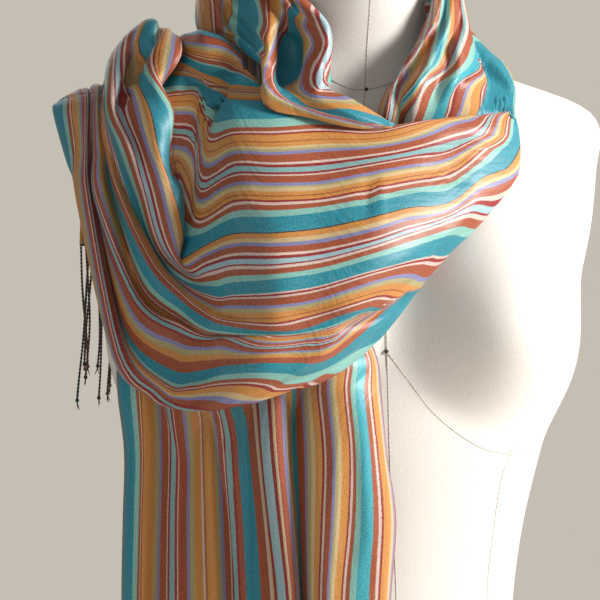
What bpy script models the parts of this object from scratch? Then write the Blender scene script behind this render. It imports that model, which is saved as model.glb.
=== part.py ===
"""Striped silk scarf wound on a limbless dress form.

Metres, +Z up, the form faces -Y and stands on the floor at the origin.  The tables give
the cloth in front-elevation millimetres: across, height and out, seen with the form
turned by TURN_DEG.  Every cloth stretch is a thin closed wall lofted through its sections.
"""
import math

import bmesh
import bpy
import numpy as np
from mathutils import Vector
from mathutils.bvhtree import BVHTree

# Driving dimensions, millimetres and degrees.
TURN_DEG = 18.0
VIEW_DISTANCE = 2000.0
EYE_ACROSS = -31.0
EYE_HEIGHT = 463.0
CLOTH_WALL = 1.2
FORM_AROUND = 42
FORM_STEP = 30.0
FORM_CLEARANCE = 2.3
SHOULDER_CLEARANCE = 4.0
SHOULDER_TO_COLUMN = 7
LAYER_CLEARANCE = 1.5
LAYER_REACH = 5.0
SEAT_GAP = 0.45
FOLD_MARGIN = 0.5
FOLD_ROUNDS = 60
SETTLE_ROUNDS = 3
HIDDEN_FROM_COLUMN = 28
HIDDEN_FOLD_ROW = 9
HEM_TO_COLUMN = 17
HEM_ROW = 5
TURNED_TO_COLUMN = 6
LOW_HEM_TO_COLUMN = 13
TAIL_FINE_COLUMNS = 15
LOW_HEM_ROW = 33
BUST_SPACING = 176.0
BUST_DEPTH = 42.0
BUST_SPREAD = 12.0
FRINGE_DROP = 120.0
STRAND_RADIUS = 1.1

FORM_COLOR = (0.86, 0.83, 0.77)
SILK_COLOR = (0.62, 0.30, 0.14)
FRINGE_COLOR = (0.12, 0.07, 0.05)

# Form rings: height, half width, front depth, back depth, roundness.
FORM_RINGS = (
    (0, 156, 99, 108, 2.2),
    (40, 156, 100, 110, 2.2),
    (100, 152, 102, 106, 2.2),
    (160, 142, 103, 95, 2.2),
    (220, 128, 100, 80, 2.2),
    (250, 129, 99, 78, 2.2),
    (300, 137, 101, 82, 2.2),
    (350, 150, 106, 90, 2.2),
    (400, 165, 110, 97, 2.2),
    (440, 174, 111, 102, 2.25),
    (480, 183, 107, 105, 2.3),
    (520, 192, 100, 104, 2.4),
    (560, 197, 90, 97, 2.5),
    (590, 203, 77, 84, 2.4),
    (605, 197, 68, 76, 2.2),
    (615, 179, 62, 72, 2.0),
    (625, 147, 60, 68, 1.8),
    (635, 115, 60, 64, 1.7),
    (645, 88, 62, 60, 1.75),
    (655, 71, 64, 54, 1.9),
    (670, 62, 68, 47, 2.0),
    (690, 59, 73, 42, 2.0),
    (715, 58, 78, 38, 2.0),
    (729, 56, 79, 35, 2.0),
    (735, 50, 73, 29, 2.0),
)

# Cowl sections from the right shoulder round the front to the left shoulder.
# Each section: position across the cloth, across, height, out.
COWL = (
    (  # right shoulder crest
        (-60, 92, 667, -8), (104, 95, 664, -12), (110, 103, 655, -23), (117, 112, 645, -36),
        (126, 121, 635, -52), (134, 124, 631, -58), (358, 128, 625, -68),
    ),
    (  # turned layer behind the right edge
        (-60, 107, 646, 10), (104, 111, 644, 8), (110, 118, 637, 9), (117, 124, 628, 12),
        (126, 127, 618, 19), (134, 128, 611, 25), (200, 125, 603, 34),
        (261, 116, 594, 41), (310, 110, 586, 50), (358, 104, 578, 57),
    ),
    (  # turned layer, lower
        (-60, 116, 604, 26), (0, 121, 605, 24), (36, 125, 602, 26), (100, 126, 572, 43),
        (128, 113, 554, 62), (149, 97, 540, 80), (178, 72, 512, 94), (230, 62, 498, 100),
        (261, 50, 484, 106), (285, 36, 468, 118), (310, 24, 457, 133), (358, 12, 448, 153),
    ),
    (  # right edge, the outline
        (-60, 119, 597, 31), (-40, 121, 599.5, 30), (0, 123.5, 602, 29), (24, 125, 603, 29.5),
        (36, 126, 600, 33), (59, 129, 585, 41), (80, 130.5, 571, 48), (100, 130, 558, 56),
        (118, 125, 547, 67), (128, 115, 534, 79), (145, 100, 517, 93), (160, 81, 499, 106),
        (178, 63, 479, 115), (200, 60, 474, 117), (230, 56, 470, 118), (250, 51, 463, 119),
        (261, 44, 454, 124), (268, 30, 437, 131), (280, 2, 413, 146), (292, -20, 404, 156),
        (308, -23, 408, 160), (330, -21, 414, 162), (358, -19, 420, 163),
    ),
    (  # right front
        (-60, 101, 591, 58), (-40, 102, 594, 58), (0, 103, 598, 58.5), (26, 104, 600, 60.5),
        (36, 104, 598.5, 63.5), (48, 105, 592, 69), (59, 105, 585, 72), (75, 105, 575, 78),
        (100, 105, 560, 86), (115, 104, 549, 92), (128, 100, 537, 100), (140, 93, 524, 107),
        (149, 84, 513, 113), (160, 70, 501, 119), (172, 56, 484, 125), (187, 48, 470, 129),
        (230, 43, 464, 130), (250, 38, 456, 131), (261, 32, 446, 134), (268, 16, 430, 141),
        (280, -12, 409, 157), (290, -34, 399, 166), (306, -38, 402, 168), (330, -37, 407, 168),
        (358, -36, 413, 168),
    ),
    (  # front, right of the middle
        (-60, 80, 585, 77), (-40, 80, 589, 77), (0, 80, 594, 77.5), (24, 80, 597.5, 79.5),
        (34, 80, 597, 82.5), (48, 80, 588, 88), (59, 80, 579.5, 91), (75, 80, 567, 98),
        (100, 80, 549, 108), (120, 80, 532, 115), (135, 77, 521, 119), (149, 70, 505, 125),
        (165, 57, 487, 131), (178, 46, 474, 135), (187, 40, 464, 138), (230, 34, 458, 139),
        (250, 28, 450, 141), (261, 22, 440, 145), (268, 6, 424, 151), (280, -22, 404, 162),
        (290, -46, 393, 169), (304, -50, 396, 167), (330, -49, 401, 166), (358, -47, 409, 167),
    ),
    (  # front, middle
        (-60, 50, 578, 93), (-40, 50, 583, 93), (0, 50, 588.5, 94), (20, 50, 593, 96.5),
        (29, 50, 593.5, 100), (48, 50, 580, 107), (59, 50, 571, 113), (75, 50, 558, 121),
        (100, 50, 537, 132), (120, 50, 520, 139), (135, 48, 509, 143), (149, 45, 495, 147),
        (165, 37, 480, 150), (178, 28, 467, 152), (187, 22, 458, 153), (230, 16, 452, 153),
        (250, 10, 444, 155), (261, 4, 433, 158), (269, -9, 419, 162), (280, -38, 402, 170),
        (291, -62, 388, 176), (303, -64, 388, 169), (330, -63, 394, 162), (358, -61, 403, 160),
    ),
    (  # front, at the soft upright crease
        (-60, 22, 574, 101), (-40, 22, 579, 101), (0, 22, 585.5, 102), (14, 22, 589, 104),
        (22, 22, 590, 107), (30, 22, 587.5, 110.5), (48, 22, 575, 119), (59, 22, 566, 126),
        (75, 22, 553, 135), (100, 22, 530, 147), (120, 22, 511, 155), (135, 21, 500, 158),
        (149, 19, 488, 161), (165, 14, 473, 164), (178, 8, 461, 165), (187, 4, 453, 164),
        (230, 0, 447, 164), (250, -5, 439, 165), (261, -10, 427, 168), (270, -22, 415, 171),
        (282, -52, 399, 176), (292, -76, 386, 177), (303, -80, 384.5, 170), (330, -79, 390, 162),
        (358, -77, 399, 159),
    ),
    (  # front, left of the middle
        (-60, -15, 586, 95), (-40, -15, 595, 95), (-14, -15, 607, 96), (0, -15, 611, 99),
        (8, -15, 609, 102), (20, -15, 600, 108), (30, -15, 590, 115), (48, -15, 573, 127),
        (59, -15, 561, 134), (75, -15, 546, 143), (100, -15, 523, 155), (120, -15, 504, 162),
        (135, -15, 491, 166), (149, -17, 479, 169), (165, -20, 463, 172), (178, -24, 452, 172),
        (187, -27, 443, 170), (200, -28, 439.5, 169), (230, -29, 437, 170), (246, -31, 427, 172),
        (261, -34, 416, 175), (272, -42, 407, 177), (284, -66, 396, 179), (296, -90, 383.5, 177),
        (303, -94, 381.5, 171), (322, -94, 386, 162), (358, -92, 395, 158),
    ),
    (  # left front
        (-60, -50, 602, 96), (-40, -50, 610, 97), (-18, -50, 617, 100), (-6, -50, 618, 105),
        (6, -50, 611, 110), (20, -50, 598, 121), (46, -50, 573, 136), (59, -50, 560, 143),
        (75, -50, 545, 151), (100, -50, 520.5, 163), (120, -50, 502, 170), (135, -50, 487, 174),
        (149, -50, 475, 177), (165, -51, 459.5, 179), (178, -52, 448, 179), (187, -54, 441, 177),
        (200, -55, 437.5, 175), (230, -56, 435, 176), (240, -57, 428.5, 178), (248, -58, 422, 179),
        (261, -60, 415, 181), (272, -64, 406, 181), (284, -82, 396, 180), (296, -102, 384, 175),
        (304, -106, 381, 169), (322, -107, 386, 160), (358, -105, 395, 155),
    ),
    (  # left of the front bulge
        (-60, -76, 641, 80), (-48, -77, 649, 85), (-34, -78, 645, 92), (-20, -78, 633, 94),
        (-8, -79, 622, 96), (0, -80, 617, 104), (8, -80, 610, 112), (20, -80, 597, 121),
        (46, -80, 572.5, 134), (59, -80, 560, 140), (75, -80, 544, 147), (100, -80, 518.5, 156),
        (120, -80, 500, 161), (135, -80, 485, 164), (149, -80, 471, 166), (165, -82, 458, 168),
        (175, -84, 450, 170), (187, -86, 444, 172), (200, -86, 438.5, 172), (214, -86, 436.5, 168),
        (230, -85, 434.5, 172), (240, -85, 427, 174), (248, -86, 420, 174), (261, -88, 411, 176),
        (272, -90, 404, 177), (284, -100, 395, 174), (297, -113, 384.5, 167),
        (305, -118, 381.5, 161), (322, -120, 387, 152), (358, -118, 396, 146),
    ),
    (  # lip of the front bulge
        (-60, -100, 656, 68), (-48, -101, 662, 80), (-34, -102, 652, 92), (-18, -102, 637, 92),
        (-4, -98, 625, 88), (6, -91, 616, 96), (20, -96, 596, 110), (33, -99, 580, 117),
        (46, -101, 564, 122), (59, -104, 548, 126), (75, -106, 532, 129), (88, -105, 518, 133),
        (100, -102, 508, 140), (112, -101, 499, 148), (127, -99, 488, 154), (137, -96, 479, 157),
        (149, -93, 469, 158), (160, -95, 462, 160), (170, -97, 457, 163), (180, -100, 453, 165),
        (190, -101, 448, 167), (199, -102, 442, 166), (214, -103, 439, 159), (230, -101, 434.5, 166),
        (240, -102, 427, 167), (248, -103, 419, 165), (256, -104, 411, 165), (264, -106, 404, 167),
        (274, -110, 399, 168), (286, -117, 392, 164), (299, -124, 386, 158), (307, -129, 384, 153),
        (322, -131, 389, 144), (358, -129, 398, 137),
    ),
    (  # valley and pinch
        (-60, -111, 652, 56), (-48, -111, 661, 66), (-34, -112, 653, 80), (-18, -112, 641, 86),
        (-2, -111, 632, 85), (12, -108, 624, 84), (28, -106, 612, 88), (46, -108, 594, 98),
        (59, -109, 580, 106), (75, -111, 560, 112), (86, -114, 534, 116), (95, -118, 510, 120),
        (103, -120, 497, 127), (112, -118.5, 490, 135), (123, -115, 485.5, 140),
        (133, -113, 481, 134), (145, -116, 477, 127), (157, -118, 475, 131), (168, -118, 471, 139),
        (178, -118, 468, 145), (188, -119, 462, 148), (198, -118, 454, 149), (206, -119, 448, 142),
        (214, -121, 446, 138), (222, -122, 448, 145), (230, -119, 440, 152), (240, -121, 430, 152),
        (248, -123, 421, 149), (255, -126, 413, 146), (264, -128, 405, 149), (276, -130, 400, 152),
        (290, -133, 396, 150), (301, -137, 394, 145), (308, -142, 391, 140), (320, -145, 394, 131),
        (358, -142, 403, 123),
    ),
    (  # foot of the left folds
        (-60, -120, 648, 48), (-46, -120, 658, 57), (-32, -121, 652, 68), (-14, -121, 643, 77),
        (0, -121, 633, 82), (12, -121, 626, 86), (30, -121, 616, 92), (47, -122, 598, 98),
        (59, -122, 586, 104), (71, -121.5, 574, 107), (80, -120, 564, 110), (86, -118, 545, 114),
        (91, -117, 528, 119), (98, -116.5, 517, 126), (106, -117.5, 512, 132), (112, -121, 509, 135),
        (117, -125, 507, 136), (127, -131, 504, 132), (137, -136, 501, 122), (149, -138, 498, 112),
        (159, -137, 496, 114), (168, -137.5, 495, 123), (178, -140, 492, 130), (188, -143, 487, 133),
        (198, -146, 479, 130), (206, -147, 470, 121), (214, -149, 466, 117), (222, -150, 467, 124),
        (230, -152.5, 463, 131), (238, -155, 456, 130), (246, -158, 449, 124), (256, -160, 442, 116),
        (266, -160, 437, 113), (280, -161, 433, 117), (292, -162, 429, 123), (301, -164, 425, 126),
        (309, -167, 422, 124), (318, -170, 421, 117), (332, -169, 424, 108), (358, -164, 430, 100),
    ),
    (  # left folds, height about 540
        (-60, -131, 640, 36), (-45, -131, 645, 47), (-30, -131, 644, 58), (-14, -132, 639, 68),
        (12, -133, 626, 80), (30, -133, 612, 90), (47, -133, 597, 96), (59, -133, 585, 102),
        (71, -132, 572, 106), (80, -129, 559, 109), (87, -122, 549, 113), (93, -118, 545, 120),
        (100, -120.5, 546, 128), (107, -126, 547, 133), (113, -131, 547, 135), (118, -136, 547, 134),
        (127, -143, 546, 129), (134, -148, 545, 126), (141, -152, 544, 118), (149, -155, 543, 107),
        (158, -156, 542, 98), (166, -158, 541, 101), (172, -161, 541, 109), (180, -164, 540, 113),
        (189, -167, 539, 110), (198, -168.5, 537, 99), (204, -169, 536, 92), (209, -171, 538, 101),
        (214, -174.5, 539, 108), (219, -178, 540, 110), (225, -181, 539, 108), (232, -183, 537, 101),
        (245, -182.5, 534, 91), (262, -181, 533, 85), (280, -181.5, 534, 88), (293, -184, 536, 96),
        (301, -186.5, 537, 100), (306, -188.5, 537, 101), (312, -191, 537, 99), (318, -193.5, 536, 94),
        (325, -196, 535, 85), (338, -195, 534, 72), (358, -188, 533, 64),
    ),
    (  # left folds, height about 573
        (-60, -139, 636, 32), (-45, -139, 640, 44), (-30, -140, 641, 55), (-14, -141, 638, 67),
        (12, -142, 629, 80), (47, -143, 603, 93), (71, -139, 582, 102), (80, -132, 574, 106),
        (87, -125.5, 572, 111), (93, -124, 573, 118), (100, -130, 575, 124), (108, -137, 576, 127),
        (113, -141, 576, 126), (118, -145.5, 576, 122), (123, -149, 576, 117), (128, -153, 577, 118),
        (134, -158.5, 578, 122), (140, -163, 578, 118), (146, -167, 578, 110), (152, -169, 577, 102),
        (160, -169.5, 576, 98), (167, -171, 575, 98), (173, -173, 574, 99), (181, -174.5, 573, 97),
        (198, -174.5, 571, 94), (207, -176, 571, 96), (212, -178, 572, 99), (218, -180.5, 573, 101),
        (224, -182.5, 573, 99), (232, -184, 573, 93), (250, -185, 572, 88), (280, -186.7, 572, 88),
        (294, -188, 573, 92), (301, -189, 574, 95), (308, -190.5, 574, 95), (314, -192, 573, 92),
        (320, -194.5, 572, 88), (327, -197, 571, 85), (334, -200, 570, 82), (341, -203, 569, 76),
        (347, -204.5, 568, 67), (358, -200, 567, 56),
    ),
    (  # left folds, height about 603
        (-60, -147, 633, 22), (-45, -147, 636, 34), (-30, -148, 637, 46), (-14, -149, 637, 58),
        (12, -149, 631, 70), (47, -147, 613, 83), (71, -139, 605, 93), (80, -130, 603, 99),
        (87, -124, 603, 107), (93, -127, 603, 115), (100, -134, 603, 119), (107, -142, 603, 120),
        (112, -147, 603, 118), (117, -152, 603, 113), (122, -158, 604, 104), (127, -163, 605, 99),
        (131, -167, 605, 105), (135, -170.5, 604, 107), (141, -174, 603, 101), (148, -175, 602, 93),
        (158, -174, 601, 89), (180, -175, 600, 87), (199, -178, 600, 88), (208, -180, 600, 92),
        (216, -181.5, 600, 94), (224, -183, 600, 92), (234, -184.5, 599, 89), (258, -186, 599, 86),
        (282, -187, 599, 86), (296, -187.6, 600, 87), (302, -188.7, 601, 90), (308, -190.5, 601, 89), (314, -193.5, 601, 86),
        (322, -198, 601, 80), (330, -202, 601, 76), (336, -206, 601, 72), (343, -211, 602, 64),
        (349, -214, 603, 53), (358, -211, 603, 42),
    ),
    (  # left folds, height about 636
        (-60, -151, 632, 12), (-45, -151, 635, 22), (-14, -151, 638, 44), (12, -149, 638, 58),
        (35, -141, 634, 68), (47, -128, 636, 81), (59, -121, 640, 92), (66, -123, 640, 98),
        (73, -130, 640, 100), (80, -136, 639, 100), (88, -143, 638, 98), (95, -148, 637, 94),
        (103, -152, 635, 86), (111, -155, 634, 79), (118, -159, 635, 81), (125, -163.5, 636, 86),
        (131, -167.5, 636, 88), (137, -171, 636, 84), (143, -174, 634, 74), (151, -175, 629, 63),
        (180, -175.5, 622, 60), (205, -179, 618, 74), (216, -181, 618, 78), (225, -183, 617, 77),
        (240, -184, 614, 73), (283, -186.3, 614, 72), (297, -187.8, 615, 74), (302, -189, 615, 76),
        (308, -191, 615, 75), (314, -194, 614, 73), (322, -198.5, 613, 68), (332, -203, 612, 62),
        (343, -209, 610, 51), (349, -211, 608, 42), (358, -208, 606, 31),
    ),
    (  # left shoulder crest
        (-60, -149, 626, -6), (-14, -149, 636, 20), (12, -145, 639, 36), (35, -134, 643, 53),
        (47, -123, 649, 66), (59, -118.5, 654, 72), (66, -121, 657.5, 73), (73, -126, 661, 72),
        (82, -131, 665.5, 70), (92, -136, 669, 67), (100, -140.5, 670.5, 64), (107, -145, 670, 62),
        (113, -149, 668, 60), (118, -153, 665, 58), (125, -159, 660, 56), (131, -164, 654.5, 54),
        (137, -168.5, 648, 50), (143, -171.5, 641, 45), (151, -174, 631, 41), (180, -177, 622, 43),
        (205, -179.5, 622.5, 51), (216, -182.5, 623, 54), (225, -185, 622, 53), (283, -187.5, 619, 48),
        (297, -190, 620, 53), (302, -192, 619.5, 54), (308, -194.5, 619, 54), (314, -197.5, 617.5, 52),
        (322, -201, 615.5, 49), (332, -205, 613, 44), (343, -210, 608.5, 35), (349, -211, 605, 27),
        (358, -207, 600, 18),
    ),
    (  # just behind the crest
        (-60, -138, 614, -26), (12, -138, 632, 2), (47, -124, 642, 28), (59, -119.5, 646, 35),
        (73, -126, 651, 34), (100, -139, 657, 28), (118, -150, 651, 22), (131, -160, 641, 16),
        (143, -168, 629, 12), (180, -175, 619, 9), (216, -182, 617, 11), (285, -188, 613, 6),
        (302, -193, 612, 8), (322, -200, 606, 3), (343, -207, 597, -8), (358, -204, 588, -16),
    ),
    (  # behind the left shoulder
        (-60, -120, 598, -42), (47, -122, 612, -22), (100, -136, 618, -14), (150, -158, 608, -16),
        (216, -177, 602, -14), (302, -190, 595, -16), (358, -197, 584, -24),
    ),
)
COWL_ROWS = (
    -60, -46, -32, -16, 0, 14, 30, 47, 59, 71, 80, 88, 96, 104, 110, 117, 126, 134, 141,
    149, 158, 168, 178, 188, 198, 204, 214, 226, 240, 250, 262, 272, 284, 294, 302, 308,
    314, 322, 332, 345, 358,
)

# Front tail sections, from the left side of the neck down to the fringe.
# Each section: height, then position across the cloth, across, out.
TAIL_TOP = (
    ((0, -75, 659, -10), (50, -75, 671, -6), (100, -72, 685, 0), (150, -65, 697, 6),
     (200, -57, 703, 10)),
    ((0, -78, 650, 36), (50, -73, 657, 46), (100, -67, 664, 52), (150, -61, 670, 54),
     (200, -56, 676, 54)),
)
FRONT_TAIL = (
    (630, ((0, -76, 62), (50, -70, 68), (100, -64, 72), (150, -57, 74), (200, -50, 74))),
    (590, ((0, -86, 97), (50, -77, 99), (100, -67, 97), (150, -56, 96), (200, -44, 93))),
    (540, ((0, -98, 112), (45, -86, 116), (100, -69, 118), (150, -48, 118), (200, -24, 110))),
    (490, ((0, -126, 114), (45, -108, 127), (100, -80, 144), (150, -42, 154), (200, 0, 128))),
    (450, ((0, -152, 104), (40, -130, 118), (100, -94, 142), (150, -44, 164), (185, -8, 150),
           (200, 14, 126))),
    (420, ((0, -165, 96), (22, -150, 108), (45, -130, 112), (75, -100, 132), (95, -82, 138),
           (112, -66, 150), (130, -50, 158), (142, -40, 153), (156, -24, 149), (176, 0, 138),
           (192, 18, 126), (200, 26, 116))),
    (395, ((0, -166, 98), (10, -160, 108), (22, -148, 112), (34, -136, 104), (48, -122, 100),
           (60, -110, 108), (70, -101, 118), (80, -91, 112), (92, -80, 110), (102, -71, 124),
           (112, -62, 140), (122, -52, 147), (131, -43, 142), (138, -39, 130), (145, -34, 132),
           (154, -25, 143), (166, -12, 147), (178, 2, 146), (190, 15, 140), (197, 25, 130),
           (200, 29, 120))),
    (350, ((0, -161, 92), (10, -156, 103), (22, -146, 107), (34, -134, 97), (48, -121, 92),
           (60, -109, 101), (70, -99, 113), (80, -89, 106), (92, -78, 104), (102, -67, 120),
           (112, -58, 138), (122, -49, 145), (131, -41, 139), (138, -38, 126), (145, -32, 128),
           (154, -22, 140), (166, -8, 144), (178, 6, 141), (190, 19, 137), (197, 30, 128),
           (200, 33, 116))),
    (300, ((0, -162, 90), (10, -157, 101), (22, -147, 105), (34, -135, 94), (48, -122, 89),
           (60, -109, 99), (70, -97, 112), (80, -87, 104), (92, -76, 100), (102, -62, 116),
           (112, -53, 133), (122, -44, 139), (131, -37, 133), (138, -34, 121), (145, -30, 124),
           (154, -22, 137), (166, -9, 141), (178, 5, 137), (190, 21, 134), (197, 35, 126),
           (200, 40, 114))),
    (241, ((0, -163, 90), (10, -158, 100), (22, -148, 104), (34, -136, 93), (48, -122, 88),
           (60, -108, 98), (70, -95, 110), (80, -85, 102), (92, -74, 97), (102, -58, 112),
           (112, -47, 127), (122, -38, 133), (131, -32, 127), (138, -31, 117), (145, -28, 120),
           (154, -22, 132), (166, -12, 137), (178, 0, 134), (190, 18, 131), (197, 32, 123),
           (200, 36, 112))),
    (190, ((0, -162, 92), (10, -157, 101), (22, -147, 105), (34, -135, 95), (48, -121, 91),
           (60, -107, 100), (70, -94, 110), (80, -84, 103), (92, -72, 99), (102, -56, 113),
           (112, -45, 125), (122, -36, 130), (131, -31, 125), (138, -29, 117), (145, -26, 120),
           (154, -20, 130), (166, -10, 135), (178, 3, 132), (190, 19, 129), (197, 31, 122),
           (200, 35, 113))),
    (142, ((0, -160, 98), (10, -155, 105), (22, -145, 109), (34, -133, 104), (48, -120, 102),
           (60, -106, 108), (70, -93, 115), (80, -83, 112), (92, -71, 112), (102, -56, 117),
           (112, -45, 124), (122, -36, 128), (131, -30, 124), (138, -28, 119), (145, -25, 121),
           (154, -19, 129), (166, -9, 132), (178, 3, 131), (190, 18, 128), (197, 30, 122),
           (200, 34, 116))),
)
TAIL_ROWS = (
    0, 5, 10, 16, 22, 28, 34, 41, 48, 60, 65, 70, 75, 80, 86, 92, 97, 102, 107, 112, 117,
    122, 127, 131, 138, 145, 150, 154, 160, 166, 172, 178, 190, 196, 200,
)

# Left neck loop: from the V at the throat up the left of the neck and round behind it.
# Each section: place in the bunch, across, height, out.
LOOP_LEFT = (
    ((0, 30, 586, 113), (50, 31, 591, 113), (100, 32, 595, 110)),
    ((0, 6, 591, 115), (25, 7, 596, 117), (50, 8, 601, 117), (75, 8, 606, 113), (100, 9, 611, 109)),
    ((0, -24, 598, 118), (25, -22, 603, 119), (50, -20, 609, 117), (75, -16, 615, 114),
     (100, -8, 619, 106)),
    ((0, -56, 606, 119), (12, -58, 612, 119), (25, -54, 618, 118), (40, -45, 620, 110),
     (52, -36, 620, 103), (64, -27, 621, 109), (76, -18, 623, 112), (88, -10, 624, 106),
     (100, -6, 624, 94)),
    ((0, -62, 632, 98), (12, -61, 633, 103), (25, -59, 634, 107), (40, -51, 636, 100),
     (52, -41, 636, 88), (64, -30, 636, 96), (76, -18, 637, 105), (88, -9, 638, 99),
     (100, -9, 638, 84)),
    ((0, -84, 657, 62), (10, -79, 656, 74), (20, -71, 654, 86), (30, -60, 652, 98),
     (38, -54, 653, 102), (48, -48, 653, 90), (58, -38, 653, 81), (70, -24, 653, 92),
     (82, -12, 653, 100), (92, -7, 653, 92), (100, -10, 653, 78)),
    ((0, -106, 662, 34), (10, -98, 665, 55), (18, -88, 667, 66), (25, -78, 668, 62),
     (32, -70, 668, 76), (40, -58, 669, 92), (48, -50, 669, 93), (56, -45, 669, 88),
     (64, -38, 669, 82), (76, -25, 669, 91), (88, -13, 669, 96), (95, -11, 669, 86),
     (100, -16, 669, 76)),
    ((0, -108, 684, 22), (10, -104, 686, 44), (18, -96, 688, 58), (26, -86, 688, 64),
     (32, -78, 688, 57), (40, -70, 688, 70), (48, -62, 688, 76), (54, -57, 688, 71),
     (62, -50, 688, 87), (70, -44, 688, 92), (76, -40, 688, 84), (84, -36, 688, 90),
     (92, -29, 688, 86), (100, -29, 688, 74)),
    ((0, -106, 676, -4), (12, -106, 690, 20), (25, -98, 700, 36), (38, -88, 703, 42),
     (50, -80, 706, 50), (62, -70, 710, 58), (75, -60, 713, 62), (88, -52, 714, 60),
     (100, -50, 712, 50)),
    ((0, -98, 656, -34), (15, -102, 672, -28), (30, -98, 686, -18), (50, -90, 698, -10),
     (70, -78, 709, 0), (85, -68, 714, 6), (100, -61, 713, 8)),
    ((0, -70, 640, -76), (15, -76, 656, -76), (30, -78, 670, -70), (50, -72, 688, -62),
     (70, -63, 703, -52), (85, -54, 712, -44), (100, -46, 713, -38)),
    ((0, -8, 630, -96), (15, -8, 646, -100), (30, -7, 660, -98), (50, -5, 680, -90),
     (70, -3, 698, -80), (85, -1, 710, -70), (100, 0, 713, -62)),
    ((0, 58, 616, -92), (15, 60, 632, -94), (30, 62, 648, -90), (50, 64, 668, -80),
     (70, 63, 688, -68), (85, 60, 700, -58), (100, 54, 705, -50)),
    ((0, 100, 622, -88), (20, 103, 628, -82), (40, 104, 636, -74), (60, 102, 644, -66),
     (80, 97, 653, -56), (100, 88, 664, -44)),
    ((0, 121, 635, -54.5), (14, 120, 638, -47.5), (38, 116, 641, -40.5), (57, 111, 645, -34.5),
     (71, 106, 650, -27.5), (86, 100, 657, -20.5), (100, 94, 665, -12.5)),
    ((0, 128, 624, 0), (30, 125, 630, 3), (60, 119, 637, 5), (100, 110, 646, 6)),
    ((0, 130, 611, 20), (30, 127, 616, 19), (60, 122, 622, 17), (100, 114, 631, 16)),
)

# Right neck loop: from behind the top edge of the cowl up the right of the neck and behind it.
LOOP_RIGHT = (
    ((0, 22, 588, 82), (20, 38, 587, 78), (40, 54, 587, 72), (60, 70, 588, 65), (80, 85, 590, 57),
     (100, 95, 591, 51)),
    ((0, 26, 598, 86), (10, 33, 600, 92), (22, 43, 601, 85), (34, 54, 602, 87), (46, 65, 602, 78),
     (60, 77, 602, 72), (74, 89, 603, 62), (88, 98, 604, 53), (100, 102, 605, 44)),
    ((0, 31, 619, 80), (8, 37, 621, 90), (17, 44, 622, 84), (27, 54, 622, 93), (37, 64, 622, 86),
     (46, 71, 622, 78), (58, 82, 622, 80), (72, 95, 622, 66), (87, 105, 622, 42), (100, 108, 622, 19)),
    ((0, 41, 635, 72), (9, 47, 636, 82), (18, 54, 636, 75), (28, 63, 636, 82), (38, 71, 636, 74),
     (48, 78, 636, 66), (60, 87, 636, 70), (74, 98, 636, 54), (88, 103, 636, 30), (100, 104, 636, 8)),
    ((0, 51, 651, 62), (10, 57, 651, 72), (20, 64, 651, 65), (30, 71, 651, 69), (42, 78, 651, 58),
     (54, 86, 651, 62), (68, 95, 651, 48), (84, 99, 651, 24), (100, 98, 651, 2)),
    ((0, 61, 667, 50), (12, 67, 667, 60), (24, 73, 667, 52), (36, 79, 667, 55), (50, 86, 667, 44),
     (64, 92, 667, 42), (80, 94, 667, 18), (100, 91, 667, -6)),
    ((0, 67, 686, 36), (14, 72, 686, 47), (28, 77, 686, 40), (42, 82, 686, 42), (58, 88, 686, 30),
     (78, 91, 683, 8), (100, 89, 676, -18)),
    ((0, 64, 706, 10), (20, 72, 706, 18), (40, 80, 702, 14), (60, 86, 695, 4), (80, 87, 684, -12),
     (100, 82, 672, -30)),
    ((0, 57, 712, -31), (25, 64, 708, -34), (50, 70, 696, -38), (75, 72, 680, -48),
     (100, 66, 664, -56)),
    ((0, 4, 711, -52), (25, 5, 705, -58), (50, 6, 690, -66), (75, 6, 674, -74), (100, 6, 658, -78)),
    ((0, -42, 711, -30), (25, -50, 704, -38), (50, -56, 690, -48), (75, -58, 674, -54),
     (100, -56, 660, -58)),
    ((0, -57, 704, 6), (25, -65, 698, 2), (50, -72, 686, -4), (75, -75, 672, -10),
     (100, -74, 660, -14)),
)
LOOP_ROWS = tuple(100 * k / 15 for k in range(16))

# Back tail sections, behind the left shoulder down to its fringe.
# Each section: height, then position across the cloth, across, out.
BACK_SEAM = (
    (0, -120, 596.5, -44), (26, -122, 610.5, -24), (38, -136, 616.5, -16), (50, -158, 606.5, -18),
    (66, -177, 600.5, -16), (87, -190, 593.5, -18), (100, -197, 582.5, -26),
)
BACK_TAIL = (
    (560, ((0, -104, -66), (14, -114, -58), (28, -124, -66), (42, -138, -56), (56, -150, -50),
           (70, -164, -54), (84, -178, -38), (100, -190, -28))),
    (530, ((0, -98, -76), (14, -110, -67), (28, -120, -77), (42, -134, -64), (56, -146, -58),
           (70, -161, -63), (84, -178, -42), (100, -193, -22))),
    (505, ((0, -95, -80), (14, -107, -70), (28, -118, -80), (42, -132, -66), (56, -145, -60),
           (70, -160, -66), (84, -179, -44), (100, -194, -18))),
)
BACK_ROWS = (0, 7, 14, 21, 28, 35, 42, 49, 56, 63, 70, 77, 84, 92, 100)


def seen(across, height, out):
    """Front-elevation millimetres to a point of the object, millimetres."""
    near = 1.0 - out / VIEW_DISTANCE
    flat = EYE_ACROSS + (across - EYE_ACROSS) * near
    up = EYE_HEIGHT + (height - EYE_HEIGHT) * near
    turn = math.radians(TURN_DEG)
    x = flat * math.cos(turn) - out * math.sin(turn)
    y = -flat * math.sin(turn) - out * math.cos(turn)
    return (x, y, up)


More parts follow.
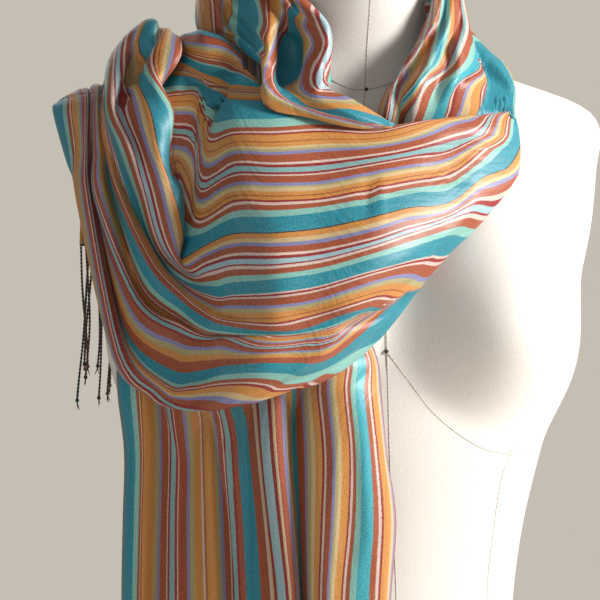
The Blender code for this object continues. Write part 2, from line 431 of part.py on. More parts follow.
def cubic(p0, p1, p2, p3, t0, t1, t2, t3, t):
    """Hermite span between t1 and t2 with slopes from the neighbours."""
    span = t2 - t1
    slope1 = (p2 - p0) / max(t2 - t0, 1e-6) * span
    slope2 = (p3 - p1) / max(t3 - t1, 1e-6) * span
    u = (t - t1) / span
    h1 = 2 * u ** 3 - 3 * u ** 2 + 1
    h2 = u ** 3 - 2 * u ** 2 + u
    h3 = -2 * u ** 3 + 3 * u ** 2
    h4 = u ** 3 - u ** 2
    return h1 * p1 + h2 * slope1 + h3 * p2 + h4 * slope2


def through(marks, points, wanted):
    """Smooth curve through points at marks, read at the wanted marks."""
    marks = list(marks)
    points = np.asarray(points, float)
    result = []
    for t in wanted:
        t = min(max(t, marks[0]), marks[-1])
        i = 0
        while i < len(marks) - 2 and t > marks[i + 1]:
            i += 1
        before = max(i - 1, 0)
        after = min(i + 2, len(marks) - 1)
        result.append(cubic(
            points[before], points[i], points[i + 1], points[after],
            marks[before], marks[i], marks[i + 1], marks[after], t))
    return np.array(result)


def loft(sections, rows, per_span):
    """Net of points: one line of rows for each column along the sections."""
    lines = []
    for section in sections:
        marks = [k[0] for k in section]
        points = [seen(*k[1:]) for k in section]
        lines.append(through(marks, points, rows))
    lines = np.array(lines)
    count = len(sections)
    wanted = [i / per_span for i in range((count - 1) * per_span + 1)]
    flat = lines.reshape(count, -1)
    return through(range(count), flat, wanted).reshape(len(wanted), len(rows), 3)


def level_sections(levels):
    """Sections given by height become sections of full points."""
    return [[(k[0], k[1], height, k[2]) for k in keys] for height, keys in levels]


def normals(net):
    """Unit normals of a net, pointing away from the wearer."""
    along = np.gradient(net, axis=0)
    over = np.gradient(net, axis=1)
    n = np.cross(along, over)
    size = np.linalg.norm(n, axis=2, keepdims=True)
    return n / np.maximum(size, 1e-9)


def form_ring(height):
    """Half width, front depth, back depth and roundness at a height."""
    table = np.array(FORM_RINGS, float)
    return [float(np.interp(height, table[:, 0], table[:, k])) for k in range(1, 5)]


def form_point(height, angle):
    """Point of the form at a height and an angle round it."""
    half, front, back, roundness = form_ring(height)
    c = math.cos(angle)
    s = math.sin(angle)
    x = half * math.copysign(abs(c) ** (2 / roundness), c)
    depth = front if s < 0 else back
    y = depth * math.copysign(abs(s) ** (2 / roundness), s)
    if s < 0:
        for side in (-1, 1):
            dx = (x - side * BUST_SPACING / 2) / 85
            dz = (height - 447) / (110 if height > 447 else 82)
            d = dx * dx + dz * dz
            if d < 1:
                y -= BUST_DEPTH * (1 - d) ** 2
    dz = (height - 417) / (72 if height > 417 else 62)
    if abs(dz) < 1:
        turn = min(max((0.35 - s) / 0.6, 0.0), 1.0)
        x += c * abs(c) ** 2 * BUST_SPREAD * turn * turn * (3 - 2 * turn) * (1 - dz * dz) ** 2
    return (x, y, height)


def form_rings(around, step):
    """Rings of form points from the floor to the neck top."""
    heights = []
    marks = [r[0] for r in FORM_RINGS]
    for low, high in zip(marks[:-1], marks[1:]):
        count = max(1, int(round((high - low) / step)))
        heights += [low + (high - low) * i / count for i in range(count)]
    heights.append(marks[-1])
    return [[form_point(h, 2 * math.pi * i / around) for i in range(around)] for h in heights]


def closed_rings(rings):
    """Vertices and faces of a solid through closed rings, capped at both ends."""
    around = len(rings[0])
    verts = [p for ring in rings for p in ring]
    faces = []
    for r in range(len(rings) - 1):
        for i in range(around):
            j = (i + 1) % around
            a = r * around
            b = a + around
            faces.append((a + i, a + j, b + j, b + i))
    for ring_at, flip in ((0, True), (len(rings) - 1, False)):
        centre = np.mean(np.array(rings[ring_at]), axis=0)
        verts.append(tuple(centre))
        hub = len(verts) - 1
        a = ring_at * around
        for i in range(around):
            j = (i + 1) % around
            faces.append((a + j, a + i, hub) if flip else (a + i, a + j, hub))
    return verts, faces


def sheet_tree(net):
    """Search tree of a net for pushing other layers off it."""
    columns, rows = net.shape[:2]
    verts = [tuple(p) for p in net.reshape(-1, 3)]
    faces = []
    for i in range(columns - 1):
        for j in range(rows - 1):
            a = i * rows + j
            faces.append((a, a + rows, a + rows + 1, a + 1))
    return BVHTree.FromPolygons(verts, faces)


def push(net, tree, gap, reach, only=None):
    """Move net points off a surface so that at least the gap is left."""
    result = net.copy()
    for index in np.ndindex(net.shape[:2]):
        if only is not None and not only(index):
            continue
        for _ in range(2):
            point = Vector(result[index])
            where, normal, _face, _distance = tree.find_nearest(point)
            if where is None:
                break
            offset = point - where
            depth = offset.dot(normal)
            if offset.length > reach and depth < 0:
                break
            if depth < gap and (offset.length < gap or depth < 0):
                result[index] = np.array(point + normal * (gap - depth))
    return result


def cowl_cells(i, j):
    """Cells of the cowl that are built: hidden hems end behind the folds over them."""
    behind_fold = i >= HIDDEN_FROM_COLUMN and j < HIDDEN_FOLD_ROW
    hem = i < HEM_TO_COLUMN and j < HEM_ROW
    turned = i < TURNED_TO_COLUMN
    low_hem = i < LOW_HEM_TO_COLUMN and j >= LOW_HEM_ROW
    return not (behind_fold or hem or turned or low_hem)


def crossing_cells(net, thickness, keep=None):
    """Cells of a net whose walls run through each other."""
    columns, rows = net.shape[:2]
    n = normals(net)
    faces = []
    owner = []
    for i in range(columns - 1):
        for j in range(rows - 1):
            if keep is not None and not keep(i, j):
                continue
            a = i * rows + j
            faces.append((a, a + rows, a + 1))
            faces.append((a + rows, a + rows + 1, a + 1))
            owner.append((i, j))
    trees = []
    for side in (0.5, -0.5):
        verts = [tuple(p) for p in (net + n * thickness * side).reshape(-1, 3)]
        trees.append(BVHTree.FromPolygons(verts, faces))
    cells = set()
    for first, second in ((0, 0), (1, 1), (0, 1)):
        for a, b in trees[first].overlap(trees[second]):
            if first == second and set(faces[a]) & set(faces[b]):
                continue
            if first != second and a // 2 == b // 2:
                continue
            cells.add(a // 2)
            cells.add(b // 2)
    return [owner[c] for c in sorted(cells)]


def open_folds(net, keep=None):
    """Ease the net wherever its wall would run through itself."""
    net = net.copy()
    columns, rows = net.shape[:2]
    for turn in range(FOLD_ROUNDS):
        cells = crossing_cells(net, CLOTH_WALL + FOLD_MARGIN, keep)
        if not cells:
            break
        weight = np.zeros((columns, rows))
        spread = 1 + turn // 20
        for i, j in cells:
            weight[max(i - spread, 0):i + 2 + spread, max(j - spread, 0):j + 2 + spread] = 0.5
        padded = np.pad(net, ((1, 1), (1, 1), (0, 0)), mode="edge")
        mean = (padded[:-2, 1:-1] + padded[2:, 1:-1]) * 0.2
        mean += (padded[1:-1, :-2] + padded[1:-1, 2:]) * 0.3
        weight[:, 0] *= 0.3
        weight[:, -1] *= 0.3
        weight[0] *= 0.3
        weight[-1] *= 0.3
        net += (mean - net) * weight[:, :, None]
    return net


def clear_form(net, form_tree, loose):
    """Push a net off the form, its first columns by the shoulder clearance."""
    net = push(net, form_tree, FORM_CLEARANCE + CLOTH_WALL, 60.0)
    if loose:
        near = SHOULDER_CLEARANCE + CLOTH_WALL
        net = push(net, form_tree, near, 60.0, lambda index: index[0] < loose)
    return net


def settle(net, form_tree, below, keep=None, loose=0):
    """Push a net off the form and the layers below, easing its folds in turn."""
    trees = [sheet_tree(layer) for layer in below]
    for _ in range(SETTLE_ROUNDS):
        net = clear_form(net, form_tree, loose)
        for tree in trees:
            net = push(net, tree, LAYER_CLEARANCE + CLOTH_WALL, LAYER_REACH)
        net = open_folds(net, keep)
    net = clear_form(net, form_tree, loose)
    return open_folds(net, keep)


def wall(net, thickness, keep=None):
    """Closed thin solid round the kept cells of a net."""
    columns, rows = net.shape[:2]
    n = normals(net)
    outer = (net + n * thickness / 2).reshape(-1, 3)
    inner = (net - n * thickness / 2).reshape(-1, 3)
    verts = [tuple(p) for p in outer] + [tuple(p) for p in inner]
    shift = columns * rows
    faces = []
    edges = set()
    for i in range(columns - 1):
        for j in range(rows - 1):
            if keep is not None and not keep(i, j):
                continue
            a = i * rows + j
            b = a + rows
            faces.append((a, b, b + 1, a + 1))
            faces.append((a + 1 + shift, b + 1 + shift, b + shift, a + shift))
            edges |= {(a, b), (b, b + 1), (b + 1, a + 1), (a + 1, a)}
    for a, b in sorted(edges):
        if (b, a) not in edges:
            faces.append((b, a, a + shift, b + shift))
    used = sorted({k for face in faces for k in face})
    place = {k: i for i, k in enumerate(used)}
    return [verts[k] for k in used], [tuple(place[k] for k in face) for face in faces]


def surface(verts, faces):
    """Search tree of a solid and the points that its distances are read at."""
    points = [Vector(v) for v in verts]
    spots = list(points)
    for face in faces:
        corners = [points[k] for k in face]
        spots.append(sum(corners, Vector()) / len(corners))
        for a, b in zip(corners, corners[1:] + corners[:1]):
            spots.append((a + b) / 2)
    return BVHTree.FromPolygons(verts, faces), spots


def seat(net, carriers, keep=None):
    """Move a whole net against the nearest solid that carries it, a seam's gap away."""
    tree, spots = surface(*wall(net, CLOTH_WALL, keep))
    nearest = 1e9
    way = Vector()
    for carrier_tree, carrier_spots in carriers:
        for point in spots:
            where, _normal, _face, distance = carrier_tree.find_nearest(point, nearest)
            if where is not None and distance < nearest:
                nearest = distance
                way = where - point
        for point in carrier_spots:
            where, _normal, _face, distance = tree.find_nearest(point, nearest)
            if where is not None and distance < nearest:
                nearest = distance
                way = point - where
    move = way.normalized() * max(nearest - SEAT_GAP, 0.0)
    return net + np.array(move)


def strand(verts, faces, root, tip, radius, bend):
    """Three-sided cord from root to tip added to a mesh."""
    root = np.array(root, float)
    tip = np.array(tip, float)
    side = np.array((bend, 0.5 * bend, 0.0))
    first = len(verts)
    places = (0.0, 0.55, 1.0)
    sizes = (1.0, 1.0, 1.35)
    for place, size in zip(places, sizes):
        centre = root + (tip - root) * place + side * math.sin(math.pi * place)
        for k in range(3):
            angle = 2 * math.pi * k / 3
            offset = np.array((math.cos(angle), math.sin(angle), 0)) * radius * size
            verts.append(tuple(centre + offset))
    for r in range(2):
        for k in range(3):
            a = first + r * 3 + k
            b = first + r * 3 + (k + 1) % 3
            faces.append((a, a + 3, b + 3, b))
    faces.append((first, first + 1, first + 2))
    faces.append((first + 8, first + 7, first + 6))


def fringe(edge, count, drop, wave):
    """Backing strip below a cloth edge with cords hanging from it."""
    edge = np.asarray(edge, float)
    steps = np.linalg.norm(np.diff(edge, axis=0), axis=1)
    marks = np.concatenate(([0.0], np.cumsum(steps)))
    places = np.linspace(1.4, marks[-1] - 1.4, count * 2 + 1)
    line = np.array([[np.interp(m, marks, edge[:, k]) for k in range(3)] for m in places])
    along = np.gradient(line, axis=0)
    across = np.cross(along, (0, 0, 1.0))
    across /= np.maximum(np.linalg.norm(across, axis=1, keepdims=True), 1e-9)
    verts = []
    faces = []
    last = len(places) - 1
    for side in (0.9, -0.9):
        for level in (-0.9, -3.4):
            for i in range(len(places)):
                p = line[i] + across[i] * side
                verts.append((p[0], p[1], p[2] + level))
    n = len(places)
    for i in range(last):
        faces.append((i, i + 1, n + i + 1, n + i))
        faces.append((2 * n + i + 1, 2 * n + i, 3 * n + i, 3 * n + i + 1))
        faces.append((i + 1, i, 2 * n + i, 2 * n + i + 1))
        faces.append((n + i, n + i + 1, 3 * n + i + 1, 3 * n + i))
    faces.append((0, n, 3 * n, 2 * n))
    faces.append((n + last, last, 2 * n + last, 3 * n + last))
    cords = []
    for k in range(count):
        i = 2 * k + 1
        root = line[i] + np.array((0, 0, -2.2))
        length = drop * (1 + 0.05 * math.sin(2.7 * k) + 0.03 * math.sin(5.1 * k + 1))
        lean = wave * math.sin(1.9 * k + 0.5)
        tip = root + np.array((lean, 0.4 * lean, -length))
        cords.append((root, tip, 1.6 * math.sin(3.3 * k)))
    return verts, faces, cords


def add_object(name, verts, faces, color, smooth=True):
    """Mesh object in metres with its own material."""
    mesh = bpy.data.meshes.new(name)
    mesh.from_pydata([tuple(c * 0.001 for c in v) for v in verts], [], faces)
    mesh.update()
    work = bmesh.new()
    work.from_mesh(mesh)
    bmesh.ops.triangulate(work, faces=work.faces)
    bmesh.ops.recalc_face_normals(work, faces=work.faces)
    if work.calc_volume(signed=True) < 0:
        bmesh.ops.reverse_faces(work, faces=work.faces)
    work.to_mesh(mesh)
    work.free()
    for face in mesh.polygons:
        face.use_smooth = smooth
    material = bpy.data.materials.new(name + "_material")
    material.use_nodes = True
    shader = material.node_tree.nodes["Principled BSDF"]
    shader.inputs["Base Color"].default_value = (color[0], color[1], color[2], 1.0)
    shader.inputs["Roughness"].default_value = 0.55
    material.diffuse_color = (color[0], color[1], color[2], 1.0)
    mesh.materials.append(material)
    obj = bpy.data.objects.new(name, mesh)
    bpy.context.scene.collection.objects.link(obj)
    return obj


def join_cords(strip, cords, radius):
    """Strip solid with every cord fused to it."""
    for k, (root, tip, bend) in enumerate(cords):
        verts = []
        faces = []
        strand(verts, faces, root, tip, radius, bend)
        cutter = add_object("cord_cutter", verts, faces, FRINGE_COLOR)
        cutter.hide_render = True
        cutter.display_type = "WIRE"
        step = strip.modifiers.new("cord", "BOOLEAN")
        step.operation = "UNION"
        step.solver = "EXACT"
        step.object = cutter
        depsgraph = bpy.context.evaluated_depsgraph_get()
        fresh = bpy.data.meshes.new_from_object(strip.evaluated_get(depsgraph))
        strip.modifiers.clear()
        old = strip.data
        strip.data = fresh
        bpy.data.meshes.remove(old)
        bpy.data.objects.remove(cutter, do_unlink=True)


def nets():
    """All cloth nets in millimetres, each pushed off the layers below it."""
    rings = form_rings(FORM_AROUND, FORM_STEP)
    verts, faces = closed_rings(rings)
    form_tree = BVHTree.FromPolygons(verts, faces)
    reach = 60.0
    near = FORM_CLEARANCE + CLOTH_WALL
    tail = loft(list(TAIL_TOP) + level_sections(FRONT_TAIL), TAIL_ROWS, 2)
    tail = tail[list(range(TAIL_FINE_COLUMNS)) + list(range(TAIL_FINE_COLUMNS + 1, len(tail), 2))]
    tail = open_folds(push(tail, form_tree, near, reach))
    right = loft(LOOP_RIGHT, LOOP_ROWS, 2)[:, ::-1]
    right = open_folds(push(right, form_tree, near, reach))
    form = surface(verts, faces)
    right = seat(right, [form])
    cowl = loft(COWL, COWL_ROWS, 2)
    cowl = settle(cowl, form_tree, (tail, right), cowl_cells, SHOULDER_TO_COLUMN)
    below = [form, surface(*wall(tail, CLOTH_WALL)), surface(*wall(right, CLOTH_WALL))]
    cowl = seat(cowl, below, cowl_cells)
    below.append(surface(*wall(cowl, CLOTH_WALL, cowl_cells)))
    left = loft(LOOP_LEFT, LOOP_ROWS, 2)[:, ::-1]
    left = seat(settle(left, form_tree, (tail, right, cowl)), below)
    back = loft([BACK_SEAM] + level_sections(BACK_TAIL), BACK_ROWS, 3)
    back = seat(settle(back, form_tree, (cowl,)), below)
    return {
        "front_tail": tail,
        "neck_loop_right": right,
        "neck_loop_left": left,
        "cowl": cowl,
        "back_tail": back,
    }


def main():
    for obj in list(bpy.data.objects):
        bpy.data.objects.remove(obj, do_unlink=True)
    verts, faces = closed_rings(form_rings(FORM_AROUND, FORM_STEP))
    add_object("form", verts, faces, FORM_COLOR)
    cloth = nets()
    for name, net in cloth.items():
        verts, faces = wall(net, CLOTH_WALL, cowl_cells if name == "cowl" else None)
        add_object(name, verts, faces, SILK_COLOR)
    for name, source, count, wave in (
            ("fringe_front", "front_tail", 40, 3.0),
            ("fringe_back", "back_tail", 28, 2.5)):
        verts, faces, cords = fringe(cloth[source][-1], count, FRINGE_DROP, wave)
        strip = add_object(name, verts, faces, FRINGE_COLOR)
        join_cords(strip, cords, STRAND_RADIUS)


if __name__ == "__main__":
    main()
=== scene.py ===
import math
import bpy
import numpy as np
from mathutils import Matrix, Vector
from mathutils.bvhtree import BVHTree


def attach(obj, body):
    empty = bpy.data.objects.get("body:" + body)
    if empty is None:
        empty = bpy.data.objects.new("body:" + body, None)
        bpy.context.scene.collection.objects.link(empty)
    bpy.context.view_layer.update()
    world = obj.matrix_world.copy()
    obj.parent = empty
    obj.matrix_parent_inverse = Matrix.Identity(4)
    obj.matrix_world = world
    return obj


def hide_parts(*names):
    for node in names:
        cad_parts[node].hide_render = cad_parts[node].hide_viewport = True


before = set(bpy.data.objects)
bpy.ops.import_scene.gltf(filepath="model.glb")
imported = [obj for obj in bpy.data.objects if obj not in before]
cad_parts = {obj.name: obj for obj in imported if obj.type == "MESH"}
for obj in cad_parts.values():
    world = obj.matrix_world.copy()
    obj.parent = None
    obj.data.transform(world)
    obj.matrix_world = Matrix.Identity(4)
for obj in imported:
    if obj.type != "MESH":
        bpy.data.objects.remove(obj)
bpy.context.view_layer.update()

# Driving dimensions, millimetres and degrees, as in the solids.
TURN_DEG = 18.0
VIEW_DISTANCE = 2000.0
EYE_ACROSS = -31.0
EYE_HEIGHT = 463.0
BUST_SPACING = 176.0
BUST_DEPTH = 42.0
BUST_SPREAD = 12.0
BUST_HALF_WIDTH = 85.0
BUST_HEIGHT = 447.0
BUST_REACH_UP = 110.0
BUST_REACH_DOWN = 82.0
SPREAD_HEIGHT = 417.0
SPREAD_REACH_UP = 72.0
SPREAD_REACH_DOWN = 62.0
SPREAD_START = 0.35
SPREAD_EASE = 0.6
FRINGE_DROP = 120.0

# Millimetres to metres, and numbers that stand for nothing and for very far.
MM = 0.001
TINY = 1e-9
FAR = 1e9

# Fineness of the shells.
COWL_ROW_STEP = 1.3
TAIL_ROW_STEP = 1.0
LOOP_ROW_COUNT = 100
BACK_ROW_COUNT = 60
COWL_PER_SPAN = 6
OTHER_PER_SPAN = 6
FORM_AROUND = 168
FORM_STEP = 5.0
TREE_AROUND = 96
TREE_STEP = 8.0
SHELL_WALL = 0.8

# Gaps that are kept, and how far inside a layer a point may lie and still be pushed out.
CLOTH_OFF_FORM = 2.6
FORM_REACH = 60.0
CLOTH_OFF_CLOTH = 1.2
LAYER_REACH = 5.0

# Rows of the nets, as places across each cloth.
COWL_EDGES = (-60.0, 358.0)
TAIL_WIDTH = 200.0
BUNCH_WIDTH = 100.0
ROW_MARGIN = 0.01
COWL_ROWS = list(np.arange(COWL_EDGES[0], COWL_EDGES[1] + ROW_MARGIN, COWL_ROW_STEP))
TAIL_ROWS = list(np.arange(0.0, TAIL_WIDTH + ROW_MARGIN, TAIL_ROW_STEP))
LOOP_ROWS = list(np.linspace(0.0, BUNCH_WIDTH, LOOP_ROW_COUNT))
BACK_ROWS = list(np.linspace(0.0, BUNCH_WIDTH, BACK_ROW_COUNT))

# Cells of the cowl that are built start at a section. Its top fold and its hem start at later ones,
# and the strip that the shoulder hides ends at one.
COWL_FIRST_SECTION = 2
TOP_FOLD_SECTION = 8.5
TOP_FOLD_PLACE = 0
HEM_SECTION = 6.5
HEM_PLACE = 294
SHOULDER_SECTION = 14
SHOULDER_PLACE = 59

# Creases, given one by one: line in photo places, half width, height of ridge (+) or trough (-),
# least distance out at which it acts, and 0 for both sides or -1 for only the right of the line as
# it runs.
COWL_CREASES = (
    (((-72, 640), (-84, 625), (-94, 608), (-103, 590), (-112, 572), (-121, 550)), 15.0, -11.0, 60, -1),
    (((-74, 640), (-86, 625), (-97, 608), (-106, 590), (-114, 572), (-121, 550)), 5.0, -8.0, 60, 0),
    (((-130, 672), (-143, 655), (-152, 640), (-158, 626), (-166, 604)), 3.4, -13.0, 20, 0),
    (((-148, 660), (-156, 645), (-163, 628), (-170, 606)), 4.0, 2.5, 20, 0),
    (((-90, 642), (-70, 636), (-56, 634)), 4.0, -5.0, 60, 0),
    (((-100, 628), (-86, 636), (-66, 643)), 3.0, 4.0, 60, 0),
    (((22, 560), (20, 540), (18, 518)), 5.0, -2.6, 60, 0),
    (((28, 556), (27, 538), (24, 516)), 4.0, 2.0, 60, 0),
    (((60, 566), (78, 552), (92, 546)), 3.0, -1.8, 40, 0),
    (((64, 560), (80, 548), (96, 541)), 3.0, 1.6, 40, 0),
    (((-70, 470), (-30, 452), (10, 446), (34, 452)), 7.0, -1.6, 60, 0),
    (((-60, 540), (-20, 528), (20, 520), (60, 528)), 10.0, 1.4, 60, 0),
    (((-90, 520), (-50, 505), (0, 492)), 9.0, -1.6, 60, 0),
    (((-98, 560), (-80, 556), (-58, 557)), 5.0, -1.5, 60, 0),
    (((-100, 545), (-78, 535), (-50, 530)), 6.0, 1.6, 60, 0),
    (((-150, 470), (-120, 440), (-85, 420)), 5.0, -1.8, 60, 0),
    (((-160, 455), (-130, 428), (-95, 408)), 5.0, 1.8, 60, 0),
    (((-110, 470), (-90, 455), (-60, 447)), 4.0, -2.0, 60, 0),
    (((20, 470), (50, 480), (78, 500)), 6.0, 1.3, 60, 0),
)
LEFT_CREASES = (
    (((-40, 672), (-38, 655), (-38, 640), (-43, 620)), 6.5, -13.0, 40, 0),
    (((-74, 668), (-68, 652), (-63, 636), (-61, 620)), 3.5, -6.0, 20, 0),
    (((-88, 690), (-84, 672), (-78, 656)), 3.5, -4.0, 0, 0),
    (((-14, 640), (-10, 628), (-2, 616)), 3.0, -3.0, 60, 0),
    (((-50, 616), (-20, 606), (10, 596)), 2.5, -3.0, 60, 0),
)
RIGHT_CREASES = (
    (((70, 676), (66, 660), (52, 640), (42, 622)), 3.0, -6.0, 20, 0),
    (((58, 664), (46, 646), (36, 628), (30, 612)), 3.0, -5.0, 20, 0),
    (((104, 660), (100, 640), (86, 618), (76, 602)), 3.0, -3.0, 10, 0),
)
TAIL_CREASES = (
    (((-150, 380), (-149, 320), (-150, 250)), 5.0, -1.2, 60, 0),
    (((-15, 390), (-12, 340), (-14, 300)), 4.0, -1.8, 60, 0),
    (((12, 395), (16, 350), (20, 290), (8, 245)), 5.0, 1.4, 60, 0),
    (((-58, 380), (-54, 330), (-46, 270)), 4.0, 1.2, 60, 0),
)

# How a crease fades towards its ends, and how a crease on one side starts at its line.
CREASE_END = 0.02
CREASE_FADE = 0.7
SIDE_START = 1.2
SIDE_EASE = 3.0

# Form rings: height, half width, front depth, back depth, roundness.
FORM_RINGS = (
    (0, 156, 99, 108, 2.2),
    (40, 156, 100, 110, 2.2),
    (100, 152, 102, 106, 2.2),
    (160, 142, 103, 95, 2.2),
    (220, 128, 100, 80, 2.2),
    (250, 129, 99, 78, 2.2),
    (300, 137, 101, 82, 2.2),
    (350, 150, 106, 90, 2.2),
    (400, 165, 110, 97, 2.2),
    (440, 174, 111, 102, 2.25),
    (480, 183, 107, 105, 2.3),
    (520, 192, 100, 104, 2.4),
    (560, 197, 90, 97, 2.5),
    (590, 203, 77, 84, 2.4),
    (605, 197, 68, 76, 2.2),
    (615, 179, 62, 72, 2.0),
    (625, 147, 60, 68, 1.8),
    (635, 115, 60, 64, 1.7),
    (645, 88, 62, 60, 1.75),
    (655, 71, 64, 54, 1.9),
    (670, 62, 68, 47, 2.0),
    (690, 59, 73, 42, 2.0),
    (715, 58, 78, 38, 2.0),
    (729, 56, 79, 35, 2.0),
    (735, 50, 73, 29, 2.0),
)

